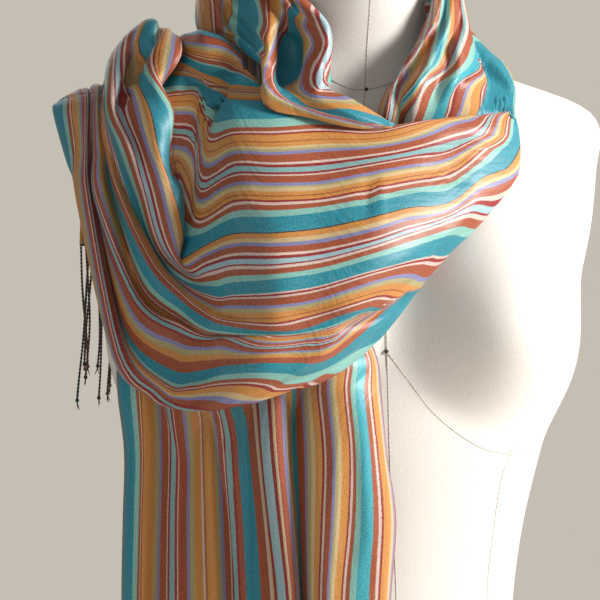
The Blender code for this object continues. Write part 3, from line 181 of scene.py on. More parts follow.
# Cowl sections from the right shoulder round the front to the left shoulder.
# Each section: position across the cloth, across, height, out.
COWL = (
    (  # right shoulder crest
        (-60, 92, 667, -8), (104, 95, 664, -12), (110, 103, 655, -23), (117, 112, 645, -36),
        (126, 121, 635, -52), (134, 124, 631, -58), (358, 128, 625, -68),
    ),
    (  # turned layer behind the right edge
        (-60, 107, 646, 10), (104, 111, 644, 8), (110, 118, 637, 9), (117, 124, 628, 12),
        (126, 127, 618, 19), (134, 128, 611, 25), (200, 125, 603, 34),
        (261, 116, 594, 41), (310, 110, 586, 50), (358, 104, 578, 57),
    ),
    (  # turned layer, lower
        (-60, 116, 604, 26), (0, 121, 605, 24), (36, 125, 602, 26), (100, 126, 572, 43),
        (128, 113, 554, 62), (149, 97, 540, 80), (178, 72, 512, 94), (230, 62, 498, 100),
        (261, 50, 484, 106), (285, 36, 468, 118), (310, 24, 457, 133), (358, 12, 448, 153),
    ),
    (  # right edge, the outline
        (-60, 119, 597, 31), (-40, 121, 599.5, 30), (0, 123.5, 602, 29), (24, 125, 603, 29.5),
        (36, 126, 600, 33), (59, 129, 585, 41), (80, 130.5, 571, 48), (100, 130, 558, 56),
        (118, 125, 547, 67), (128, 115, 534, 79), (145, 100, 517, 93), (160, 81, 499, 106),
        (178, 63, 479, 115), (200, 60, 474, 117), (230, 56, 470, 118), (250, 51, 463, 119),
        (261, 44, 454, 124), (268, 30, 437, 131), (280, 2, 413, 146), (292, -20, 404, 156),
        (308, -23, 408, 160), (330, -21, 414, 162), (358, -19, 420, 163),
    ),
    (  # right front
        (-60, 101, 591, 58), (-40, 102, 594, 58), (0, 103, 598, 58.5), (26, 104, 600, 60.5),
        (36, 104, 598.5, 63.5), (48, 105, 592, 69), (59, 105, 585, 72), (75, 105, 575, 78),
        (100, 105, 560, 86), (115, 104, 549, 92), (128, 100, 537, 100), (140, 93, 524, 107),
        (149, 84, 513, 113), (160, 70, 501, 119), (172, 56, 484, 125), (187, 48, 470, 129),
        (230, 43, 464, 130), (250, 38, 456, 131), (261, 32, 446, 134), (268, 16, 430, 141),
        (280, -12, 409, 157), (290, -34, 399, 166), (306, -38, 402, 168), (330, -37, 407, 168),
        (358, -36, 413, 168),
    ),
    (  # front, right of the middle
        (-60, 80, 585, 77), (-40, 80, 589, 77), (0, 80, 594, 77.5), (24, 80, 597.5, 79.5),
        (34, 80, 597, 82.5), (48, 80, 588, 88), (59, 80, 579.5, 91), (75, 80, 567, 98),
        (100, 80, 549, 108), (120, 80, 532, 115), (135, 77, 521, 119), (149, 70, 505, 125),
        (165, 57, 487, 131), (178, 46, 474, 135), (187, 40, 464, 138), (230, 34, 458, 139),
        (250, 28, 450, 141), (261, 22, 440, 145), (268, 6, 424, 151), (280, -22, 404, 162),
        (290, -46, 393, 169), (304, -50, 396, 167), (330, -49, 401, 166), (358, -47, 409, 167),
    ),
    (  # front, middle
        (-60, 50, 578, 93), (-40, 50, 583, 93), (0, 50, 588.5, 94), (20, 50, 593, 96.5),
        (29, 50, 593.5, 100), (48, 50, 580, 107), (59, 50, 571, 113), (75, 50, 558, 121),
        (100, 50, 537, 132), (120, 50, 520, 139), (135, 48, 509, 143), (149, 45, 495, 147),
        (165, 37, 480, 150), (178, 28, 467, 152), (187, 22, 458, 153), (230, 16, 452, 153),
        (250, 10, 444, 155), (261, 4, 433, 158), (269, -9, 419, 162), (280, -38, 402, 170),
        (291, -62, 388, 176), (303, -64, 388, 169), (330, -63, 394, 162), (358, -61, 403, 160),
    ),
    (  # front, at the soft upright crease
        (-60, 22, 574, 101), (-40, 22, 579, 101), (0, 22, 585.5, 102), (14, 22, 589, 104),
        (22, 22, 590, 107), (30, 22, 587.5, 110.5), (48, 22, 575, 119), (59, 22, 566, 126),
        (75, 22, 553, 135), (100, 22, 530, 147), (120, 22, 511, 155), (135, 21, 500, 158),
        (149, 19, 488, 161), (165, 14, 473, 164), (178, 8, 461, 165), (187, 4, 453, 164),
        (230, 0, 447, 164), (250, -5, 439, 165), (261, -10, 427, 168), (270, -22, 415, 171),
        (282, -52, 399, 176), (292, -76, 386, 177), (303, -80, 384.5, 170), (330, -79, 390, 162),
        (358, -77, 399, 159),
    ),
    (  # front, left of the middle
        (-60, -15, 586, 95), (-40, -15, 595, 95), (-14, -15, 607, 96), (0, -15, 611, 99),
        (8, -15, 609, 102), (20, -15, 600, 108), (30, -15, 590, 115), (48, -15, 573, 127),
        (59, -15, 561, 134), (75, -15, 546, 143), (100, -15, 523, 155), (120, -15, 504, 162),
        (135, -15, 491, 166), (149, -17, 479, 169), (165, -20, 463, 172), (178, -24, 452, 172),
        (187, -27, 443, 170), (200, -28, 439.5, 169), (230, -29, 437, 170), (246, -31, 427, 172),
        (261, -34, 416, 175), (272, -42, 407, 177), (284, -66, 396, 179), (296, -90, 383.5, 177),
        (303, -94, 381.5, 171), (322, -94, 386, 162), (358, -92, 395, 158),
    ),
    (  # left front
        (-60, -50, 602, 96), (-40, -50, 610, 97), (-18, -50, 617, 100), (-6, -50, 618, 105),
        (6, -50, 611, 110), (20, -50, 598, 121), (46, -50, 573, 136), (59, -50, 560, 143),
        (75, -50, 545, 151), (100, -50, 520.5, 163), (120, -50, 502, 170), (135, -50, 487, 174),
        (149, -50, 475, 177), (165, -51, 459.5, 179), (178, -52, 448, 179), (187, -54, 441, 177),
        (200, -55, 437.5, 175), (230, -56, 435, 176), (240, -57, 428.5, 178), (248, -58, 422, 179),
        (261, -60, 415, 181), (272, -64, 406, 181), (284, -82, 396, 180), (296, -102, 384, 175),
        (304, -106, 381, 169), (322, -107, 386, 160), (358, -105, 395, 155),
    ),
    (  # left of the front bulge
        (-60, -76, 641, 80), (-48, -77, 649, 85), (-34, -78, 645, 92), (-20, -78, 633, 94),
        (-8, -79, 622, 96), (0, -80, 617, 104), (8, -80, 610, 112), (20, -80, 597, 121),
        (46, -80, 572.5, 134), (59, -80, 560, 140), (75, -80, 544, 147), (100, -80, 518.5, 156),
        (120, -80, 500, 161), (135, -80, 485, 164), (149, -80, 471, 166), (165, -82, 458, 168),
        (175, -84, 450, 170), (187, -86, 444, 172), (200, -86, 438.5, 172), (214, -86, 436.5, 168),
        (230, -85, 434.5, 172), (240, -85, 427, 174), (248, -86, 420, 174), (261, -88, 411, 176),
        (272, -90, 404, 177), (284, -100, 395, 174), (297, -113, 384.5, 167),
        (305, -118, 381.5, 161), (322, -120, 387, 152), (358, -118, 396, 146),
    ),
    (  # lip of the front bulge
        (-60, -100, 656, 68), (-48, -101, 662, 80), (-34, -102, 652, 92), (-18, -102, 637, 92),
        (-4, -98, 625, 88), (6, -91, 616, 96), (20, -96, 596, 110), (33, -99, 580, 117),
        (46, -101, 564, 122), (59, -104, 548, 126), (75, -106, 532, 129), (88, -105, 518, 133),
        (100, -102, 508, 140), (112, -101, 499, 148), (127, -99, 488, 154), (137, -96, 479, 157),
        (149, -93, 469, 158), (160, -95, 462, 160), (170, -97, 457, 163), (180, -100, 453, 165),
        (190, -101, 448, 167), (199, -102, 442, 166), (214, -103, 439, 159), (230, -101, 434.5, 166),
        (240, -102, 427, 167), (248, -103, 419, 165), (256, -104, 411, 165), (264, -106, 404, 167),
        (274, -110, 399, 168), (286, -117, 392, 164), (299, -124, 386, 158), (307, -129, 384, 153),
        (322, -131, 389, 144), (358, -129, 398, 137),
    ),
    (  # valley and pinch
        (-60, -111, 652, 56), (-48, -111, 661, 66), (-34, -112, 653, 80), (-18, -112, 641, 86),
        (-2, -111, 632, 85), (12, -108, 624, 84), (28, -106, 612, 88), (46, -108, 594, 98),
        (59, -109, 580, 106), (75, -111, 560, 112), (86, -114, 534, 116), (95, -118, 510, 120),
        (103, -120, 497, 127), (112, -118.5, 490, 135), (123, -115, 485.5, 140),
        (133, -113, 481, 134), (145, -116, 477, 127), (157, -118, 475, 131), (168, -118, 471, 139),
        (178, -118, 468, 145), (188, -119, 462, 148), (198, -118, 454, 149), (206, -119, 448, 142),
        (214, -121, 446, 138), (222, -122, 448, 145), (230, -119, 440, 152), (240, -121, 430, 152),
        (248, -123, 421, 149), (255, -126, 413, 146), (264, -128, 405, 149), (276, -130, 400, 152),
        (290, -133, 396, 150), (301, -137, 394, 145), (308, -142, 391, 140), (320, -145, 394, 131),
        (358, -142, 403, 123),
    ),
    (  # foot of the left folds
        (-60, -120, 648, 48), (-46, -120, 658, 57), (-32, -121, 652, 68), (-14, -121, 643, 77),
        (0, -121, 633, 82), (12, -121, 626, 86), (30, -121, 616, 92), (47, -122, 598, 98),
        (59, -122, 586, 104), (71, -121.5, 574, 107), (80, -120, 564, 110), (86, -118, 545, 114),
        (91, -117, 528, 119), (98, -116.5, 517, 126), (106, -117.5, 512, 132), (112, -121, 509, 135),
        (117, -125, 507, 136), (127, -131, 504, 132), (137, -136, 501, 122), (149, -138, 498, 112),
        (159, -137, 496, 114), (168, -137.5, 495, 123), (178, -140, 492, 130), (188, -143, 487, 133),
        (198, -146, 479, 130), (206, -147, 470, 121), (214, -149, 466, 117), (222, -150, 467, 124),
        (230, -152.5, 463, 131), (238, -155, 456, 130), (246, -158, 449, 124), (256, -160, 442, 116),
        (266, -160, 437, 113), (280, -161, 433, 117), (292, -162, 429, 123), (301, -164, 425, 126),
        (309, -167, 422, 124), (318, -170, 421, 117), (332, -169, 424, 108), (358, -164, 430, 100),
    ),
    (  # left folds, height about 540
        (-60, -131, 640, 36), (-45, -131, 645, 47), (-30, -131, 644, 58), (-14, -132, 639, 68),
        (12, -133, 626, 80), (30, -133, 612, 90), (47, -133, 597, 96), (59, -133, 585, 102),
        (71, -132, 572, 106), (80, -129, 559, 109), (87, -122, 549, 113), (93, -118, 545, 120),
        (100, -120.5, 546, 128), (107, -126, 547, 133), (113, -131, 547, 135), (118, -136, 547, 134),
        (127, -143, 546, 129), (134, -148, 545, 126), (141, -152, 544, 118), (149, -155, 543, 107),
        (158, -156, 542, 98), (166, -158, 541, 101), (172, -161, 541, 109), (180, -164, 540, 113),
        (189, -167, 539, 110), (198, -168.5, 537, 99), (204, -169, 536, 92), (209, -171, 538, 101),
        (214, -174.5, 539, 108), (219, -178, 540, 110), (225, -181, 539, 108), (232, -183, 537, 101),
        (245, -182.5, 534, 91), (262, -181, 533, 85), (280, -181.5, 534, 88), (293, -184, 536, 96),
        (301, -186.5, 537, 100), (306, -188.5, 537, 101), (312, -191, 537, 99), (318, -193.5, 536, 94),
        (325, -196, 535, 85), (338, -195, 534, 72), (358, -188, 533, 64),
    ),
    (  # left folds, height about 573
        (-60, -139, 636, 32), (-45, -139, 640, 44), (-30, -140, 641, 55), (-14, -141, 638, 67),
        (12, -142, 629, 80), (47, -143, 603, 93), (71, -139, 582, 102), (80, -132, 574, 106),
        (87, -125.5, 572, 111), (93, -124, 573, 118), (100, -130, 575, 124), (108, -137, 576, 127),
        (113, -141, 576, 126), (118, -145.5, 576, 122), (123, -149, 576, 117), (128, -153, 577, 118),
        (134, -158.5, 578, 122), (140, -163, 578, 118), (146, -167, 578, 110), (152, -169, 577, 102),
        (160, -169.5, 576, 98), (167, -171, 575, 98), (173, -173, 574, 99), (181, -174.5, 573, 97),
        (198, -174.5, 571, 94), (207, -176, 571, 96), (212, -178, 572, 99), (218, -180.5, 573, 101),
        (224, -182.5, 573, 99), (232, -184, 573, 93), (250, -185, 572, 88), (280, -186.7, 572, 88),
        (294, -188, 573, 92), (301, -189, 574, 95), (308, -190.5, 574, 95), (314, -192, 573, 92),
        (320, -194.5, 572, 88), (327, -197, 571, 85), (334, -200, 570, 82), (341, -203, 569, 76),
        (347, -204.5, 568, 67), (358, -200, 567, 56),
    ),
    (  # left folds, height about 603
        (-60, -147, 633, 22), (-45, -147, 636, 34), (-30, -148, 637, 46), (-14, -149, 637, 58),
        (12, -149, 631, 70), (47, -147, 613, 83), (71, -139, 605, 93), (80, -130, 603, 99),
        (87, -124, 603, 107), (93, -127, 603, 115), (100, -134, 603, 119), (107, -142, 603, 120),
        (112, -147, 603, 118), (117, -152, 603, 113), (122, -158, 604, 104), (127, -163, 605, 99),
        (131, -167, 605, 105), (135, -170.5, 604, 107), (141, -174, 603, 101), (148, -175, 602, 93),
        (158, -174, 601, 89), (180, -175, 600, 87), (199, -178, 600, 88), (208, -180, 600, 92),
        (216, -181.5, 600, 94), (224, -183, 600, 92), (234, -184.5, 599, 89), (258, -186, 599, 86),
        (282, -187, 599, 86), (296, -187.6, 600, 87), (302, -188.7, 601, 90), (308, -190.5, 601, 89),
        (314, -193.5, 601, 86), (322, -198, 601, 80), (330, -202, 601, 76),
        (336, -206, 601, 72), (343, -211, 602, 64), (349, -214, 603, 53), (358, -211, 603, 42),
    ),
    (  # left folds, height about 636
        (-60, -151, 632, 12), (-45, -151, 635, 22), (-14, -151, 638, 44), (12, -149, 638, 58),
        (35, -141, 634, 68), (47, -128, 636, 81), (59, -121, 640, 92), (66, -123, 640, 98),
        (73, -130, 640, 100), (80, -136, 639, 100), (88, -143, 638, 98), (95, -148, 637, 94),
        (103, -152, 635, 86), (111, -155, 634, 79), (118, -159, 635, 81), (125, -163.5, 636, 86),
        (131, -167.5, 636, 88), (137, -171, 636, 84), (143, -174, 634, 74), (151, -175, 629, 63),
        (180, -175.5, 622, 60), (205, -179, 618, 74), (216, -181, 618, 78), (225, -183, 617, 77),
        (240, -184, 614, 73), (283, -186.3, 614, 72), (297, -187.8, 615, 74), (302, -189, 615, 76),
        (308, -191, 615, 75), (314, -194, 614, 73), (322, -198.5, 613, 68), (332, -203, 612, 62),
        (343, -209, 610, 51), (349, -211, 608, 42), (358, -208, 606, 31),
    ),
    (  # left shoulder crest
        (-60, -149, 626, -6), (-14, -149, 636, 20), (12, -145, 639, 36), (35, -134, 643, 53),
        (47, -123, 649, 66), (59, -118.5, 654, 72), (66, -121, 657.5, 73), (73, -126, 661, 72),
        (82, -131, 665.5, 70), (92, -136, 669, 67), (100, -140.5, 670.5, 64), (107, -145, 670, 62),
        (113, -149, 668, 60), (118, -153, 665, 58), (125, -159, 660, 56), (131, -164, 654.5, 54),
        (137, -168.5, 648, 50), (143, -171.5, 641, 45), (151, -174, 631, 41), (180, -177, 622, 43),
        (205, -179.5, 622.5, 51), (216, -182.5, 623, 54), (225, -185, 622, 53), (283, -187.5, 619, 48),
        (297, -190, 620, 53), (302, -192, 619.5, 54), (308, -194.5, 619, 54), (314, -197.5, 617.5, 52),
        (322, -201, 615.5, 49), (332, -205, 613, 44), (343, -210, 608.5, 35), (349, -211, 605, 27),
        (358, -207, 600, 18),
    ),
    (  # just behind the crest
        (-60, -138, 614, -26), (12, -138, 632, 2), (47, -124, 642, 28), (59, -119.5, 646, 35),
        (73, -126, 651, 34), (100, -139, 657, 28), (118, -150, 651, 22), (131, -160, 641, 16),
        (143, -168, 629, 12), (180, -175, 619, 9), (216, -182, 617, 11), (285, -188, 613, 6),
        (302, -193, 612, 8), (322, -200, 606, 3), (343, -207, 597, -8), (358, -204, 588, -16),
    ),
    (  # behind the left shoulder
        (-60, -120, 598, -42), (47, -122, 612, -22), (100, -136, 618, -14), (150, -158, 608, -16),
        (216, -177, 602, -14), (302, -190, 595, -16), (358, -197, 584, -24),
    ),
)

# Front tail sections, from the left side of the neck down to the fringe.
# Each section: height, then position across the cloth, across, out.
TAIL_TOP = (
    ((0, -75, 659, -10), (50, -75, 671, -6), (100, -72, 685, 0), (150, -65, 697, 6),
     (200, -57, 703, 10)),
    ((0, -78, 650, 36), (50, -73, 657, 46), (100, -67, 664, 52), (150, -61, 670, 54),
     (200, -56, 676, 54)),
)

FRONT_TAIL = (
    (630, ((0, -76, 62), (50, -70, 68), (100, -64, 72), (150, -57, 74), (200, -50, 74))),
    (590, ((0, -86, 97), (50, -77, 99), (100, -67, 97), (150, -56, 96), (200, -44, 93))),
    (540, ((0, -98, 112), (45, -86, 116), (100, -69, 118), (150, -48, 118), (200, -24, 110))),
    (490, ((0, -126, 114), (45, -108, 127), (100, -80, 144), (150, -42, 154), (200, 0, 128))),
    (450, ((0, -152, 104), (40, -130, 118), (100, -94, 142), (150, -44, 164), (185, -8, 150),
           (200, 14, 126))),
    (420, ((0, -165, 96), (22, -150, 108), (45, -130, 112), (75, -100, 132), (95, -82, 138),
           (112, -66, 150), (130, -50, 158), (142, -40, 153), (156, -24, 149), (176, 0, 138),
           (192, 18, 126), (200, 26, 116))),
    (395, ((0, -166, 98), (10, -160, 108), (22, -148, 112), (34, -136, 104), (48, -122, 100),
           (60, -110, 108), (70, -101, 118), (80, -91, 112), (92, -80, 110), (102, -71, 124),
           (112, -62, 140), (122, -52, 147), (131, -43, 142), (138, -39, 130), (145, -34, 132),
           (154, -25, 143), (166, -12, 147), (178, 2, 146), (190, 15, 140), (197, 25, 130),
           (200, 29, 120))),
    (350, ((0, -161, 92), (10, -156, 103), (22, -146, 107), (34, -134, 97), (48, -121, 92),
           (60, -109, 101), (70, -99, 113), (80, -89, 106), (92, -78, 104), (102, -67, 120),
           (112, -58, 138), (122, -49, 145), (131, -41, 139), (138, -38, 126), (145, -32, 128),
           (154, -22, 140), (166, -8, 144), (178, 6, 141), (190, 19, 137), (197, 30, 128),
           (200, 33, 116))),
    (300, ((0, -162, 90), (10, -157, 101), (22, -147, 105), (34, -135, 94), (48, -122, 89),
           (60, -109, 99), (70, -97, 112), (80, -87, 104), (92, -76, 100), (102, -62, 116),
           (112, -53, 133), (122, -44, 139), (131, -37, 133), (138, -34, 121), (145, -30, 124),
           (154, -22, 137), (166, -9, 141), (178, 5, 137), (190, 21, 134), (197, 35, 126),
           (200, 40, 114))),
    (241, ((0, -163, 90), (10, -158, 100), (22, -148, 104), (34, -136, 93), (48, -122, 88),
           (60, -108, 98), (70, -95, 110), (80, -85, 102), (92, -74, 97), (102, -58, 112),
           (112, -47, 127), (122, -38, 133), (131, -32, 127), (138, -31, 117), (145, -28, 120),
           (154, -22, 132), (166, -12, 137), (178, 0, 134), (190, 18, 131), (197, 32, 123),
           (200, 36, 112))),
    (190, ((0, -162, 92), (10, -157, 101), (22, -147, 105), (34, -135, 95), (48, -121, 91),
           (60, -107, 100), (70, -94, 110), (80, -84, 103), (92, -72, 99), (102, -56, 113),
           (112, -45, 125), (122, -36, 130), (131, -31, 125), (138, -29, 117), (145, -26, 120),
           (154, -20, 130), (166, -10, 135), (178, 3, 132), (190, 19, 129), (197, 31, 122),
           (200, 35, 113))),
    (142, ((0, -160, 98), (10, -155, 105), (22, -145, 109), (34, -133, 104), (48, -120, 102),
           (60, -106, 108), (70, -93, 115), (80, -83, 112), (92, -71, 112), (102, -56, 117),
           (112, -45, 124), (122, -36, 128), (131, -30, 124), (138, -28, 119), (145, -25, 121),
           (154, -19, 129), (166, -9, 132), (178, 3, 131), (190, 18, 128), (197, 30, 122),
           (200, 34, 116))),
)

# Left neck loop: from the V at the throat up the left of the neck and round behind it.
# Each section: place in the bunch, across, height, out.
LOOP_LEFT = (
    ((0, 36, 588, 104), (50, 38, 590, 104), (100, 40, 592, 101)),
    ((0, 6, 591, 115), (25, 7, 596, 117), (50, 8, 601, 117), (75, 8, 606, 113), (100, 9, 611, 109)),
    ((0, -24, 598, 118), (25, -22, 603, 119), (50, -20, 609, 117), (75, -16, 615, 114),
     (100, -8, 619, 106)),
    ((0, -56, 606, 119), (12, -58, 612, 119), (25, -54, 618, 118), (40, -45, 620, 110),
     (52, -36, 620, 103), (64, -27, 621, 109), (76, -18, 623, 112), (88, -10, 624, 106),
     (100, -6, 624, 94)),
    ((0, -62, 632, 98), (12, -61, 633, 103), (25, -59, 634, 107), (40, -51, 636, 100),
     (52, -41, 636, 88), (64, -30, 636, 96), (76, -18, 637, 105), (88, -9, 638, 99),
     (100, -9, 638, 84)),
    ((0, -84, 657, 62), (10, -79, 656, 74), (20, -71, 654, 86), (30, -60, 652, 98),
     (38, -54, 653, 102), (48, -48, 653, 90), (58, -38, 653, 81), (70, -24, 653, 92),
     (82, -12, 653, 100), (92, -7, 653, 92), (100, -10, 653, 78)),
    ((0, -106, 662, 34), (10, -98, 665, 55), (18, -88, 667, 66), (25, -78, 668, 62),
     (32, -70, 668, 76), (40, -58, 669, 92), (48, -50, 669, 93), (56, -45, 669, 88),
     (64, -38, 669, 82), (76, -25, 669, 91), (88, -13, 669, 96), (95, -11, 669, 86),
     (100, -16, 669, 76)),
    ((0, -108, 684, 22), (10, -104, 686, 44), (18, -96, 688, 58), (26, -86, 688, 64),
     (32, -78, 688, 57), (40, -70, 688, 70), (48, -62, 688, 76), (54, -57, 688, 71),
     (62, -50, 688, 87), (70, -44, 688, 92), (76, -40, 688, 84), (84, -36, 688, 90),
     (92, -29, 688, 86), (100, -29, 688, 74)),
    ((0, -106, 676, -4), (12, -106, 690, 20), (25, -98, 700, 36), (38, -88, 703, 42),
     (50, -80, 706, 50), (62, -70, 710, 58), (75, -60, 713, 62), (88, -52, 714, 60),
     (100, -50, 712, 50)),
    ((0, -98, 656, -34), (15, -102, 672, -28), (30, -98, 686, -18), (50, -90, 698, -10),
     (70, -78, 709, 0), (85, -68, 714, 6), (100, -61, 713, 8)),
    ((0, -70, 640, -76), (15, -76, 656, -76), (30, -78, 670, -70), (50, -72, 688, -62),
     (70, -63, 703, -52), (85, -54, 712, -44), (100, -46, 713, -38)),
    ((0, -8, 630, -96), (15, -8, 646, -100), (30, -7, 660, -98), (50, -5, 680, -90),
     (70, -3, 698, -80), (85, -1, 710, -70), (100, 0, 713, -62)),
    ((0, 58, 616, -92), (15, 60, 632, -94), (30, 62, 648, -90), (50, 64, 668, -80),
     (70, 63, 688, -68), (85, 60, 700, -58), (100, 54, 705, -50)),
    ((0, 100, 622, -88), (20, 103, 628, -82), (40, 104, 636, -74), (60, 102, 644, -66),
     (80, 97, 653, -56), (100, 88, 664, -44)),
    ((0, 121, 635, -54.5), (14, 120, 638, -47.5), (38, 116, 641, -40.5), (57, 111, 645, -34.5),
     (71, 106, 650, -27.5), (86, 100, 657, -20.5), (100, 94, 665, -12.5)),
    ((0, 127, 624, 0), (25, 123, 630, 1), (50, 116, 638, 1), (75, 106, 646, -1), (100, 95, 652, -3)),
    ((0, 128, 611, 16), (25, 124, 617, 15), (50, 116, 623, 12), (75, 105, 628, 9), (100, 92, 632, 9)),
    ((0, 117, 584, 18), (25, 113, 584, 19), (50, 106, 583, 20), (75, 97, 582, 24), (100, 86, 580, 30)),
)

# Right neck loop: from behind the top edge of the cowl up the right of the neck and behind it.
LOOP_RIGHT = (
    ((0, 22, 588, 82), (20, 38, 587, 78), (40, 54, 587, 72), (60, 70, 588, 65), (80, 85, 590, 57),
     (100, 95, 591, 51)),
    ((0, 26, 598, 86), (10, 33, 600, 92), (22, 43, 601, 85), (34, 54, 602, 87), (46, 65, 602, 78),
     (60, 77, 602, 72), (74, 89, 603, 62), (88, 98, 604, 53), (100, 102, 605, 44)),
    ((0, 31, 619, 80), (8, 37, 621, 90), (17, 44, 622, 84), (27, 54, 622, 93), (37, 64, 622, 86),
     (46, 71, 622, 78), (58, 82, 622, 80), (72, 95, 622, 66), (87, 105, 622, 42), (100, 108, 622, 19)),
    ((0, 41, 635, 72), (9, 47, 636, 82), (18, 54, 636, 75), (28, 63, 636, 82), (38, 71, 636, 74),
     (48, 78, 636, 66), (60, 87, 636, 70), (74, 98, 636, 54), (88, 103, 636, 30), (100, 104, 636, 8)),
    ((0, 51, 651, 62), (10, 57, 651, 72), (20, 64, 651, 65), (30, 71, 651, 69), (42, 78, 651, 58),
     (54, 86, 651, 62), (68, 95, 651, 48), (84, 99, 651, 24), (100, 98, 651, 2)),
    ((0, 61, 667, 50), (12, 67, 667, 60), (24, 73, 667, 52), (36, 79, 667, 55), (50, 86, 667, 44),
     (64, 92, 667, 42), (80, 94, 667, 18), (100, 91, 667, -6)),
    ((0, 67, 686, 36), (14, 72, 686, 47), (28, 77, 686, 40), (42, 82, 686, 42), (58, 88, 686, 30),
     (78, 91, 683, 8), (100, 89, 676, -18)),
    ((0, 64, 706, 10), (20, 72, 706, 18), (40, 80, 702, 14), (60, 86, 695, 4), (80, 87, 684, -12),
     (100, 82, 672, -30)),
    ((0, 57, 712, -31), (25, 64, 708, -34), (50, 70, 696, -38), (75, 72, 680, -48),
     (100, 66, 664, -56)),
    ((0, 4, 711, -52), (25, 5, 705, -58), (50, 6, 690, -66), (75, 6, 674, -74), (100, 6, 658, -78)),
    ((0, -42, 711, -30), (25, -50, 704, -38), (50, -56, 690, -48), (75, -58, 674, -54),
     (100, -56, 660, -58)),
    ((0, -57, 704, 6), (25, -65, 698, 2), (50, -72, 686, -4), (75, -75, 672, -10),
     (100, -74, 660, -14)),
)

# Back tail sections, behind the left shoulder down to its fringe.
# Each section: height, then position across the cloth, across, out.
BACK_SEAM = (
    (0, -120, 596.5, -44), (26, -122, 610.5, -24), (38, -136, 616.5, -16), (50, -158, 606.5, -18),
    (66, -177, 600.5, -16), (87, -190, 593.5, -18), (100, -197, 582.5, -26),
)

BACK_TAIL = (
    (560, ((0, -104, -66), (14, -114, -58), (28, -124, -66), (42, -138, -56), (56, -150, -50),
           (70, -164, -54), (84, -178, -38), (100, -190, -28))),
    (530, ((0, -98, -76), (14, -110, -67), (28, -120, -77), (42, -134, -64), (56, -146, -58),
           (70, -161, -63), (84, -178, -42), (100, -193, -22))),
    (505, ((0, -95, -80), (14, -107, -70), (28, -118, -80), (42, -132, -66), (56, -145, -60),
           (70, -160, -66), (84, -179, -44), (100, -194, -18))),
)

# Stripe colours, linear.
TEAL = (0.010, 0.290, 0.385)
# Teal with painted light: the colour of the teal where light falls on it, given to one teal band of the
# tail and of each loop.
PAINTED_LIT_TEAL = (0.035, 0.430, 0.520)
MINT = (0.270, 0.590, 0.520)
RUST = (0.400, 0.085, 0.030)
WHITE = (0.760, 0.590, 0.520)
RED = (0.330, 0.014, 0.018)
ORANGE = (0.680, 0.290, 0.065)
AMBER = (0.450, 0.130, 0.022)
OLIVE = (0.470, 0.410, 0.190)
CREAM = (0.690, 0.520, 0.260)
VIOLET = (0.260, 0.265, 0.520)
AQUA = (0.260, 0.500, 0.500)
SKY = (0.380, 0.580, 0.640)
DARK = (0.050, 0.016, 0.010)

# Stripe charts: where each stripe starts across the cloth, and its colour. In the tail and loop charts one
# teal band takes the lighter colour of painted light.
COWL_CHART = (
    (-70, TEAL), (-42, RED), (-40.5, RUST), (-35, VIOLET), (-33, OLIVE), (-30, ORANGE), (-27.5, AMBER),
    (-26.6, ORANGE), (-25, RED), (-24.2, CREAM), (-23, RUST), (-20, MINT), (-18.5, TEAL), (-9, ORANGE),
    (-4, RED), (-3, WHITE), (-2, RUST), (0, OLIVE), (2, ORANGE), (5, AMBER), (6.2, TEAL), (20, MINT),
    (26.5, RUST), (30, WHITE), (31.3, RED), (32.6, ORANGE), (37.5, AMBER), (38.6, ORANGE),
    (42, CREAM), (43.5, OLIVE), (45.5, VIOLET), (48, RUST), (53.2, WHITE), (54.8, RED), (57, AQUA),
    (60.5, RED), (62.4, WHITE), (63.6, RUST), (69, VIOLET), (71.5, OLIVE), (73, CREAM), (76, ORANGE),
    (79, AMBER), (80, ORANGE), (82.6, RED), (84.2, WHITE), (86.4, RUST), (90, MINT), (94.5, TEAL),
    (106, DARK), (107, ORANGE), (111, CREAM), (114.5, VIOLET), (117.5, RUST), (122.5, WHITE),
    (124.4, RED), (127, SKY), (130.4, RED), (132, WHITE), (134.4, RUST), (139, MINT), (143.5, TEAL),
    (154, WHITE), (155, RED), (156.4, WHITE), (158, RUST), (163.4, VIOLET), (166, OLIVE),
    (169.5, ORANGE), (174, AMBER), (175, ORANGE), (178, RED), (179.4, WHITE), (181, RUST), (187, TEAL),
    (197, MINT), (201, RUST), (204, WHITE), (205.3, RED), (206.8, ORANGE), (211, AMBER), (212, ORANGE),
    (214.6, OLIVE), (217.4, VIOLET), (220, RUST), (224.6, WHITE), (226.2, RED), (228.2, AQUA),
    (231.4, RED), (233.4, RUST), (238.6, VIOLET), (241, OLIVE), (244.2, ORANGE), (249, RUST),
    (256, TEAL), (267, MINT), (272, RUST), (276, WHITE), (277.4, RED), (279, ORANGE), (285, CREAM),
    (288, VIOLET), (291, RUST), (296.6, RED), (299.4, AQUA), (303, RED), (305.2, WHITE), (306.4, RUST),
    (311.6, VIOLET), (314, OLIVE), (318, ORANGE), (325, RED), (326.4, WHITE), (328, RUST), (332, MINT),
    (336, TEAL), (348, ORANGE),
)
